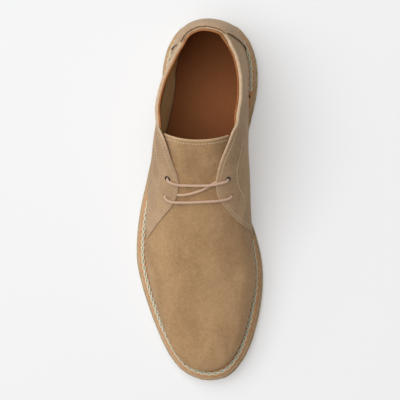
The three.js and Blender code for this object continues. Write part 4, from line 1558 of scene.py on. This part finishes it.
# ---------------------------------------------------------------- the upper
@dataclass
class Upper:
    """Vamp and lining, tongue, quarters and heel panel."""

    form: BootForm
    finishes: Finishes
    quarter_low: float = 0.05
    quarter_thick: float = 1.6
    quarter_drop: float = 0.024
    foot_end: float = 187.5
    panel_low: float = 1.7
    panel_thick: float = 1.25
    panel_drop: float = 0.004
    panel_bend: float = 1.1
    panel_gape: float = 0.7
    panel_angle: float = 0.3
    edge_round: float = 0.8
    tip_fade: float = 0.9
    tongue_sink: float = 4.5
    tongue_edge: float = 0.9
    tongue_low: float = 1.5
    tongue_crown: float = 107.6
    tongue_bow: float = 5.4
    tongue_lean: float = 0.8
    roll: float = 1.0
    roll_depth: float = 4.5
    binding: float = 0.5
    binding_depth: float = 6.0
    binding_rows: int = 13
    facing_blend: tuple[float, float] = (90.0, 102.0)
    heel_tuck: tuple[float, float] = (30.0, 22.0)
    rim_fade: tuple[float, float] = (103.0, 88.0)
    pale_collar: tuple[float, float] = (106.0, 92.0)
    fan_back: tuple[float, float] = (236.0, 250.0)
    fan_front: tuple[float, float] = (286.0, 268.0)
    tip_x: tuple[float, float] = (-36.5, -41.5)
    tip_station: tuple[float, float] = (172.0, 180.0)
    tongue_sides: tuple[float, float] = (0.4, 1.0)
    tongue_height: tuple[float, float] = (146.0, 112.0)
    vamp_columns: int = 171
    vamp_rows: int = 60
    tongue_columns: int = 81
    tongue_rows: int = 70
    quarter_columns: int = 62
    quarter_rows: int = 58
    panel_columns: int = 110
    panel_rows: int = 56

    def build(self) -> None:
        """Builds every leather."""
        self._vamp()
        self._tongue()
        for side in Side:
            self._quarter(side)
        self._heel_panel()

    def panel_top(self) -> float:
        """The level of the rim over the heel panel."""
        return float(self.form.rim_level(np.array([self.panel_angle]))[0])

    def shell_top(self, side: Side, station: Array) -> Array:
        """Finds where the vamp and lining end: at the rim, the slot's edge or the ridge.

        Args:
            side: The side of the boot.
            station: Along the boot.

        Returns:
            The level at each station.
        """
        angle = side.loop_angle(self.form.feather.angle_at(station))
        edge = SLOT_EDGES.curve(side.value)(np.minimum(station, THROAT.round))
        x = blend(self.form.axis(station), edge, THROAT.narrowing(station))
        slot = self.form.place_over(x, station)[1]
        top = blend(self.form.rim_level(angle), slot, smooth_step(THROAT.back, THROAT.open, station))
        return np.where(station >= THROAT.front, 1.0, top)

    def quarter_top(self, side: Side, station: Array) -> Array:
        """Finds where a quarter ends: at the rim, the facing's edge, and down to the welt at its foot.

        Args:
            side: The side of the boot.
            station: Along the boot.

        Returns:
            The level at each station.
        """
        angle = side.loop_angle(self.form.feather.angle_at(station))
        foot = FACING_FOOT[side.value]
        facing = self.form.edge_level(side, FACING_EDGES, np.minimum(station, foot))
        top = blend(self.form.rim_level(angle), facing, smooth_step(*self.facing_blend, station))
        top = top - self.quarter_drop * smooth_step(*self.heel_tuck, station)
        return blend(top, -1.0, np.clip((station - foot) / (self.foot_end - foot), 0, 1))

    def _near_rim(self, stations: Array, grid: Array, depth: float) -> Array:
        """How near the collar's rim each corner of a sheet lies.

        Args:
            stations: Each column's station.
            grid: The sheet's corners, with the rim in the last row.
            depth: How far below the rim it still counts.

        Returns:
            1 on the rim, and 0 well below it and along the facings.
        """
        below = run_along(grid[:, ::-1])[:, ::-1]
        return bell(below, 0, depth) * smooth_step(*self.rim_fade, stations)[:, None]

    def _soften(self, grid: Array, passes: int = 24) -> Array:
        """Evens out the form where the toe's fan of sections begins.

        Args:
            grid: Corners, (columns, rows, 3), with columns that run right round.
            passes: How many times it is smoothed.

        Returns:
            The smoothed corners.
        """
        station = self.form.station_of(grid)
        weight = (smooth_step(*self.fan_back, station) * smooth_step(*self.fan_front, station))[..., None]
        for _ in range(passes):
            mean = (np.roll(grid, 1, axis=0) + np.roll(grid, -1, axis=0)) / 2
            grid = grid + (mean - grid) * weight * 0.8
        return grid

    def _vamp(self) -> None:
        """Builds vamp and lining as one hollow wall."""
        feather, returning = self.form.feather, slice(-2, 0, -1)
        stations = np.unique(np.concatenate([
            feather.station_at(np.linspace(0, math.pi, self.vamp_columns)), np.linspace(92, 106, 22),
            np.linspace(146, THROAT.front, 30)]))
        half = feather.angle_at(stations)
        angles = np.concatenate([half, TAU - half[returning]])
        tops = np.concatenate([self.shell_top(Side.MEDIAL, stations),
                               self.shell_top(Side.LATERAL, stations)[returning]])
        levels = self.form.rows_up(angles, tops, self.vamp_rows, crowd=1.5)
        face = self.form.wall(angles[:, None], levels, 0.0)
        places = feather.station_at(angles)
        rolled = self.roll * self._near_rim(places, face, self.roll_depth)
        bound = LAYERS.wall + self.binding * self._near_rim(places, face, self.binding_depth)
        outer, inner = (self._soften(self.form.wall(angles[:, None], levels, -deep))
                        for deep in (rolled, bound))
        shape = Shape()
        close_sheet(shape, outer, inner, bulge=0.7, closed=True, sealed=tops >= 1, slots=(0, 1, 2),
                    trim=self.binding_rows)
        place_piece(shape.build("vamp_and_lining", self.finishes.suede, self.finishes.flesh,
                                self.finishes.edge_leather), "suede", "upper")

    def tongue_top(self, share: Array) -> Array:
        """The station of the tongue's top edge, at a share of the way out to its side."""
        return self.tongue_crown - self.tongue_bow * share**2 + self.tongue_lean * share

    def tongue_x(self, share: Array, station: Array) -> Array:
        """Finds a place across the tongue.

        Args:
            share: The share of the way out to its side, below 0 on the lateral side.
            station: Along the boot.

        Returns:
            Its x.
        """
        held = np.minimum(station, THROAT.round)
        medial, lateral = (TONGUE_EDGES.curve(side.value)(held) for side in Side)
        return blend(self.form.axis(station), np.where(share > 0, medial, lateral), np.abs(share))

    def sunk(self, share: Array, station: Array) -> Array:
        """How far the tongue's sides hang below the facings, most near its top, as steps down."""
        depth = smooth_step(*self.tongue_sides, np.abs(share)) * smooth_step(*self.tongue_height, station)
        return self.tongue_sink * depth[..., None] * UP

    def _tongue(self) -> None:
        """Builds the tongue, flush with the vamp where it runs on from it."""
        share = np.sin(np.linspace(-math.pi / 2, math.pi / 2, self.tongue_columns))[:, None]
        station = blend(THROAT.front_at(share), self.tongue_top(share), crowded(self.tongue_rows))
        x = self.tongue_x(share, station)
        face = self.form.over(x, station, 0.0)
        away = np.linalg.norm(face[:, -1:] - face, axis=-1)
        thinned = 1 - quarter_round(away, self.tongue_edge)
        sunk = self.sunk(share, station)
        outer = self.form.over(x, station, -0.55 * thinned) - sunk
        inner = self.form.over(x, station, -self.tongue_low + 0.3 * thinned) - sunk
        shape = Shape()
        # The tongue's pale top edge: partly its own tone, partly a painted highlight.
        close_sheet(shape, outer, inner, bulge=0.3, slots=(0, 1, 0),
                    edge=np.exp(-away / self.tongue_edge) * 0.8)
        place_piece(shape.build("tongue_leather", self.finishes.suede, self.finishes.flesh),
                    "suede", "tongue")

    def _quarter(self, side: Side) -> None:
        """Builds one quarter with its facing.

        Args:
            side: The side of the boot.
        """
        feather = self.form.feather
        stations = np.unique(np.concatenate([
            feather.station_at(np.linspace(0, float(feather.angle_at(96)), self.quarter_columns)),
            np.linspace(96, 184, 92), np.linspace(184, self.foot_end, 18)]))
        angles = side.loop_angle(feather.angle_at(stations))
        levels = self.form.rows_up(angles, self.quarter_top(side, stations), self.quarter_rows)
        if side is Side.LATERAL:
            angles, levels = angles[::-1], levels[::-1]
        places, angles = feather.station_at(angles), angles[:, None]
        face = self.form.wall(angles, levels, self.quarter_low)
        away = distance_to_line(face, self._close_line(face[:, -1]))
        low = self.quarter_low - self.roll * self._near_rim(places, face, self.roll_depth)
        inner = self.form.wall(angles, levels, low)
        tip = self._tip(side, inner)
        seam = 0.05 * bell(away, 1.3, 0.9) - 0.14 * bell(away, 2.5, 0.6)
        thick = self.quarter_low + self.quarter_thick * (1 - self.tip_fade * tip) + seam - low
        rounded = 0.5 + 0.5 * quarter_round(away, self.edge_round)
        outer = self.form.wall(angles, levels, low + thick * rounded)
        # Pale bands along the facing's and the collar's cut edges: partly their own tone, partly a painted
        # highlight.
        collar = smooth_step(*self.pale_collar, places)[:, None]
        pale_and_lit = (0.6 + 0.4 * collar) * np.exp(-away / (0.6 + 0.9 * collar)) * (1 - tip)
        shape = Shape()
        close_sheet(shape, outer, inner, bulge=0.2, edge=pale_and_lit)
        piece = shape.build(f"quarter_{side.value}_leather", self.finishes.quarter_suede)
        for hole in Lacing.holes(side):
            centre, outside = (self.form.over(hole.x, hole.station, offset) for offset in (0.8, 2.0))
            cut_round_hole(piece, centre, outside - centre, hole.radius)
        place_piece(piece, "suede", f"quarter_{side.value}")

    def _tip(self, side: Side, grid: Array) -> Array:
        """Finds the lateral quarter's front corner, which runs out flush with the vamp.

        Args:
            side: The side of the boot.
            grid: The quarter's corners.

        Returns:
            1 on that corner of the leather, else 0.
        """
        if side is Side.MEDIAL:
            return np.zeros(grid.shape[:2])
        across = smooth_step(*self.tip_x, grid[..., 0])
        return across * smooth_step(*self.tip_station, self.form.station_of(grid))

    @staticmethod
    def _close_line(line: Array) -> Array:
        """A line's points set closer together."""
        run = run_along(line)
        return read_along(line, run, np.arange(0, run[-1], 0.5))

    def panel_reach(self, side: Side, level: Array) -> Array:
        """Finds the heel panel's front edge.

        Args:
            side: The side of the boot.
            level: Heights up the wall.

        Returns:
            The edge's half angle at each level.
        """
        dense, reach = np.linspace(0.02, 1.1, 400), []
        for value in level:
            points = self.form.face(side.loop_angle(dense), value)
            seam = PANEL_SEAM.curve(side.value, "height")(points[:, 2] - LAYERS.upper_base)
            reach.append(np.interp(0, self.form.station_of(points) - seam, dense))
        return np.array(reach)

    def _heel_panel(self) -> None:
        """Builds the outside counter over both quarters, with a raised front edge and a ragged top."""
        share = np.linspace(-1, 1, self.panel_columns)[:, None]
        climb = crowded(self.panel_rows)
        levels = blend(-1, self.panel_top(), climb)
        medial, lateral = (self.panel_reach(side, levels) for side in Side)
        angles = share * np.where(share > 0, medial, lateral)
        tops = self.form.rim_level(angles)
        ragged = ripple(self.form.wall(angles, tops, 0.0), 5.0, 11)
        levels = -1 + (tops - self.panel_drop * (1 + ragged) + 0.99) * climb
        stand = self.panel_gape * smooth_step(0.86, 1.0, np.abs(share)) * (1 - climb) ** 0.3
        low = self.panel_low + stand - self.panel_bend * smooth_step(0.95, 1, climb)
        inner = self.form.wall(angles, levels, low)
        away = distance_to_line(inner, self._close_line(np.concatenate([inner[0], inner[:, -1], inner[-1]])))
        thick = self.panel_thick * (0.4 + 0.6 * quarter_round(away, self.edge_round))
        outer = self.form.wall(angles, levels, low + thick - 0.3 * bell(away, 2.6, 0.7))
        shape = Shape()
        # Its inside and ragged top take the dark raw edge: partly its own tone, partly painted shade.
        close_sheet(shape, outer, inner, bulge=0.3, slots=(0, 1, 1))
        # Its outside takes the paler heel suede, a painted highlight.
        place_piece(shape.build("heel_panel_leather", self.finishes.lit_heel_suede, self.finishes.shaded_raw_edge),
                    "suede", "heel_panel")


# ---------------------------------------------------------------- lace, eyelets and seams
# Routes of the lace over the vamp, from hole to hole.
UPPER_BAR = Sections(
    "x station rise",
    (-19.1, 135.0, -0.6), (-19.0, 135.0, 1.6), (-18.5, 135.3, 3.0), (-17.5, 136.1, 3.7),
    (-16.1, 136.9, 3.9), (-13.8, 138.0, 3.7), (-10.6, 139.1, 3.1), (-5.8, 139.8, 2.4), (3.3, 140.0, 2.3),
    (9, 139.7, 2.8), (12.3, 139.2, 3.4), (16.4, 138.3, 3.7), (19.4, 137.6, 3.7), (22.3, 136.8, 3.9),
    (24.4, 136.1, 3.8), (25.6, 135.7, 3.0), (26.2, 135.6, 1.6), (26.3, 135.6, -0.6),
)
CROSSING = Sections(
    "x station rise",
    (-16, 148.4, -0.6), (-13.0, 148.1, 0.3), (-10.5, 148.0, 1.1), (-3.3, 147.2, 1.2), (2.9, 145.5, 1.2),
    (7.7, 143.7, 1.2), (11.4, 141.8, 1.1), (15.2, 139.4, 1.0), (18.5, 138.2, 0.4), (22, 137.2, -0.4),
)
LOWER_BAR = Sections(
    "x station rise",
    (-22.0, 148.4, -0.6), (-22.0, 148.4, 1.0), (-21.6, 149.4, 2.4), (-20.0, 151.2, 2.9),
    (-17.7, 152.2, 3.0), (-14.2, 152.9, 2.9), (-8.8, 153.4, 2.2), (2.7, 153.2, 1.9), (11.8, 152.5, 2.2),
    (18.2, 151.7, 2.9), (23.7, 150.8, 3.0), (26.5, 149.9, 2.9), (28.3, 149.0, 2.3), (28.9, 148.6, 1.0),
    (28.9, 148.6, -0.6),
)


@dataclass(frozen=True)
class Hole:
    """A lace hole, as seen from above."""

    x: float
    station: float
    radius: float


@dataclass
class Lacing:
    """The lace's bars and crossing, and the metal rings of the upper pair of holes."""

    form: BootForm
    finishes: Finishes
    radius: float = 1.1
    bore: float = 1.55
    barrel: float = 1.95
    barrel_foot: float = 0.3
    barrel_top: float = 1.6
    flange: float = 2.02
    flange_rise: float = 1.95
    flange_wide: float = 0.52
    flange_high: float = 0.42

    @staticmethod
    def holes(side: Side) -> tuple[Hole, Hole]:
        """Places the upper hole, which has a ring, and the lower, which is only punched.

        Args:
            side: The side of the boot.

        Returns:
            Both holes.
        """
        if side is Side.MEDIAL:
            return Hole(26.3, 135.6, 2.2), Hole(28.9, 148.6, 1.5)
        return Hole(-19.1, 135.0, 2.2), Hole(-22.0, 148.4, 1.5)

    def build(self) -> None:
        """Builds rings and laces."""
        for side in Side:
            self._ring(side)
        for name, routes in (("lace_upper", (UPPER_BAR, CROSSING)), ("lace_lower", (LOWER_BAR,))):
            shape = Shape()
            for route in routes:
                shape.add_tube(*self._smooth_route(route), self.radius, sides=14)
            place_piece(shape.build(f"{name}_cord", self.finishes.lace), "lace_cord", name)

    def _smooth_route(self, route: Sections) -> tuple[Array, Array]:
        """Runs a smooth path through a route over the vamp.

        Args:
            route: Places with their rise over the vamp.

        Returns:
            The path and the leather's normal along it.
        """
        x, station, rise = (route.column(name) for name in ("x", "station", "rise"))
        points = self.form.over(x, station, rise)
        normals = self.form.over(x, station, rise + 1) - points
        run = run_along(points)
        places = np.linspace(0, run[-1], int(run[-1] / 0.45))
        path, ups = (np.stack([Curve(run, values[:, axis])(places) for axis in range(3)], axis=1)
                     for values in (points, normals))
        return path, ups + np.array([0.01, 0.02, 0.03])

    def _ring(self, side: Side) -> None:
        """Builds one eyelet: a barrel through the leather and a rolled flange on top.

        Args:
            side: The side of the boot.
        """
        hole = self.holes(side)[0]
        centre = self.form.over(hole.x, hole.station, 0.0)
        out = unit(self.form.over(hole.x, hole.station, 1.0) - centre)
        across = unit(np.cross(out, [0, 1, 0]))
        along = np.cross(out, across)
        section = [(self.bore, self.barrel_foot), (self.barrel, self.barrel_foot),
                   (self.barrel, self.barrel_top)]
        section += [(self.flange + self.flange_wide * math.cos(turn),
                     self.flange_rise + self.flange_high * math.sin(turn))
                    for turn in np.linspace(-0.25 * math.pi, 1.25 * math.pi, 12)]
        section += [(self.bore, self.barrel_top), (self.bore, self.barrel_foot)]
        turns = np.linspace(0, TAU, 41)[:-1, None]
        spoke = np.cos(turns) * across + np.sin(turns) * along
        rings = [centre + out * height + radius * spoke for radius, height in section]
        shape = Shape()
        shape.add_grid(np.stack(rings, axis=1), closed=True)
        place_piece(shape.build(f"eyelet_ring_{side.value}", self.finishes.metal), "dark_metal",
                    f"eyelet_{side.value}")


@dataclass
class Seams:
    """All sewing: the upper's stitch rows, and the braid and bead along the welt."""

    form: BootForm
    upper: Upper
    finishes: Finishes
    pitch: float = 2.4
    stitch: float = 1.55
    thread: float = 0.38
    facing_inset: float = 2.4
    facing_run: tuple[float, float] = (100.0, 182.0)
    stay_run: tuple[float, float] = (101.0, 150.0)
    panel_inset: float = 0.075
    tongue_inset: float = 2.5
    bead_radius: float = 0.7
    bead_swell: float = 0.85
    bead_reach: float = 0.6
    bead_rise: float = 0.3
    braid_pitch: float = 5.6
    braid_steps: int = 14
    braid_reach: float = 0.92
    braid_rise: float = 0.62
    braid_lift: float = 0.42
    braid_thread: float = 0.76
    joint_back: float = 62.0
    joint_front: float = 76.0
    joint_hole: float = 65.8
    joint_radius: float = 0.8
    eye_radius: float = 0.34

    def build(self) -> None:
        """Builds every seam."""
        self._upper_stitches()
        self._bead()
        self._braid()

    def _sew(self, shape: Shape, path: Array, above: Array) -> None:
        """Sews a row of stitches along a path; above is the same path a millimetre further out."""
        shape.add_stitches(path, above - path, self.pitch, self.stitch, self.thread)

    def _sew_over(self, shape: Shape, x: Array, station: Array, offset: float) -> None:
        """Sews a row of stitches over places seen from above."""
        self._sew(shape, *(self.form.over(x, station, offset + more) for more in (0, 1)))

    def _upper_stitches(self) -> None:
        """Sews the facings, the stays behind the eyelets, the heel panel and the tongue's edge."""
        shape = Shape()
        top = self.upper.quarter_low + self.upper.quarter_thick
        outside = self.upper.panel_low + self.upper.panel_thick - 0.3
        for side in Side:
            station = np.linspace(*self.facing_run, 160)
            x = FACING_EDGES.curve(side.value)(station)
            slope = np.gradient(x, station)
            inset = self.facing_inset * (1 if side is Side.MEDIAL else -1) / np.hypot(1, slope)
            self._sew_over(shape, x + inset, station - inset * slope, top - 0.2)
            station = np.linspace(*self.stay_run, 90)
            self._sew_over(shape, STAY_SEAM.curve(side.value)(station), station, top)
            level = np.linspace(-0.9, self.upper.panel_top() - 0.03, 80)
            angle = side.loop_angle(self.upper.panel_reach(side, level) - self.panel_inset)
            self._sew(shape, *(self.form.wall(angle, level, outside + more) for more in (0, 1)))
        share = np.linspace(-0.93, 0.93, 90)
        station = self.upper.tongue_top(share) + self.tongue_inset
        x, sunk = self.upper.tongue_x(share, station), self.upper.sunk(share, station)
        self._sew(shape, *(self.form.over(x, station, offset) - sunk for offset in (0, 1)))
        place_piece(shape.build("upper_stitches", self.finishes.stitch), "suede")

    def _on_welt(self, outline: Outline, angles: Array, reach: Array, rise: float) -> Array:
        """Places on the welt's top, at a reach beyond an outline and a rise over the welt."""
        x, station = self.form.ray(outline, angles).beyond(reach)
        return self.form.to_boot(x, station, self.form.underside(station) + LAYERS.welt_top + rise)

    def _bead(self) -> None:
        """Lays the thin turned-out edge of leather between upper and braid."""
        angles = np.linspace(0, TAU, 721)[:-1]
        reach = self.form.swell.value(angles) * self.bead_swell + self.bead_reach
        shape = Shape()
        shape.add_tube(self._on_welt(self.form.feather, angles, reach, self.bead_rise), UP,
                       self.bead_radius, sides=8, closed=True, squash=0.8)
        place_piece(shape.build("welt_bead", self.finishes.edge_leather), "welt_leather")

    def _braid(self) -> None:
        """Plaits two threads along the welt, open only at the joint on the inner side of the heel."""
        inset = Outline(WELT_LINES, "braid")
        back, front, hole = self.form.sole.angle_at([self.joint_back, self.joint_front, self.joint_hole])
        angles = front + np.linspace(0, TAU - front + back, 721)
        middle = self._on_welt(self.form.sole, angles, -inset.value(angles), self.braid_rise)
        run = run_along(middle)
        eyes = round(run[-1] / self.braid_pitch)
        middle = read_along(middle, run, np.linspace(0, run[-1], eyes * self.braid_steps + 1))
        ahead = unit(np.gradient(middle, axis=0))
        aside = np.cross(ahead, UP)
        phase = np.linspace(0, eyes * math.pi, len(middle))[:, None]
        braid = Shape()
        for way in (1, -1):
            swing = aside * way * self.braid_reach * np.sin(phase)
            braid.add_tube(middle + swing + UP * way * self.braid_lift * np.cos(phase), UP, self.braid_thread,
                           sides=8)
        place_piece(braid.build("welt_braid", self.finishes.braid), "welt_leather")
        # Dark patches in the braid's eyes and at its joint: painted shade for the needle holes.
        spots = [(self._on_welt(self.form.sole, hole, -inset.value(hole), 0.0), ahead[-1], self.joint_radius)]
        for eye in range(eyes):
            centre = eye * self.braid_steps + self.braid_steps // 2
            spots.append((middle[centre] - UP * self.braid_rise, ahead[centre], self.eye_radius))
        holes = Shape()
        for spot, direction, radius in spots:
            path = spot + direction * np.linspace(-1.6, 1.6, 7)[:, None] * radius
            holes.add_tube(path, UP, radius, sides=8, squash=0.35)
        place_piece(holes.build("needle_hole_shades", self.finishes.needle_hole_shade), "welt_leather")


# ---------------------------------------------------------------- the studio
@dataclass
class Studio:
    """Pale floor, soft light and the camera over the boot."""

    finishes: Finishes
    camera_x: float = 0.0633
    camera_height: float = 1.10
    focal: float = 115.4
    floor_size: float = 6.0
    key_place: tuple[float, float, float] = (-0.62, 0.4, 2.5)
    key_size: float = 2.4
    key_power: float = 69.0
    room_outer: float = 0.5
    room_inner: float = 0.06
    room_warmth: Colour = (1.0, 0.8, 0.56)

    def build(self, middle: Vector) -> None:
        """Sets floor, lights and camera.

        Args:
            middle: The middle of the boot's plan, on the floor.
        """
        bpy.context.scene.view_settings.view_transform = "Standard"
        self._floor()
        self._room()
        self._key_light()
        self._camera(middle)

    def _floor(self) -> None:
        """Lays the floor."""
        bpy.ops.mesh.primitive_plane_add(size=self.floor_size, location=(0, 0, 0))
        floor = bpy.context.object
        floor.name = "floor"
        floor.data.materials.append(self.finishes.floor)
        floor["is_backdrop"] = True

    def _room(self) -> None:
        """Lights the room; its inner side, where a second boot would stand, is dimmer and warmer."""
        world = bpy.data.worlds.new("studio")
        bpy.context.scene.world = world
        world.use_nodes = True
        tree = Tree(world.node_tree)
        inwards = tree.node("SeparateXYZ", Vector=tree.node("TexCoord").outputs["Generated"]).outputs["X"]
        tree.fill(world.node_tree.nodes["Background"],
                  Color=tree.mix(tree.ramp(inwards, -0.2, 0.9), WHITE, self.room_warmth),
                  Strength=tree.ramp(inwards, -1.0, 0.8, self.room_outer, self.room_inner))

    def _key_light(self) -> None:
        """Hangs a square softbox that faces the boot."""
        light = bpy.data.lights.new("key", "AREA")
        light.size, light.energy = self.key_size, self.key_power
        holder = bpy.data.objects.new("key", light)
        holder.location = self.key_place
        holder.rotation_euler = (-Vector(self.key_place)).to_track_quat("-Z", "Y").to_euler()
        bpy.context.scene.collection.objects.link(holder)

    def _camera(self, middle: Vector) -> None:
        """Hangs the camera beside the boot's middle and turns it there, with the heel at the top of its view.

        Args:
            middle: The middle of the boot's plan, on the floor.
        """
        camera = bpy.data.objects.new("camera", bpy.data.cameras.new("camera"))
        bpy.context.scene.collection.objects.link(camera)
        camera.data.lens = self.focal
        camera.location = (self.camera_x, 0, self.camera_height)
        back = (camera.location - Vector((middle.x, middle.y, 0))).normalized()
        right = Vector((0, 1, 0)).cross(back).normalized()
        camera.rotation_euler = Matrix((right, back.cross(right), back)).transposed().to_euler()
        bpy.context.scene.camera = camera


def box_lists() -> list[list[float]]:
    """The whole object's box, as plain lists."""
    return [list(corner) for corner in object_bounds()]


def main() -> None:
    """Builds the boot and its studio."""
    logging.basicConfig(level=logging.INFO, format="%(name)s: %(message)s")
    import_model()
    frame_box = box_lists()
    low, high = (Vector(corner) for corner in frame_box)
    form, finishes = BootForm(), Finishes()
    Sole(form, finishes).build()
    upper = Upper(form, finishes)
    upper.build()
    Lacing(form, finishes).build()
    Seams(form, upper, finishes).build()
    Studio(finishes).build((low + high) / 2)


if __name__ == "__main__":
    main()
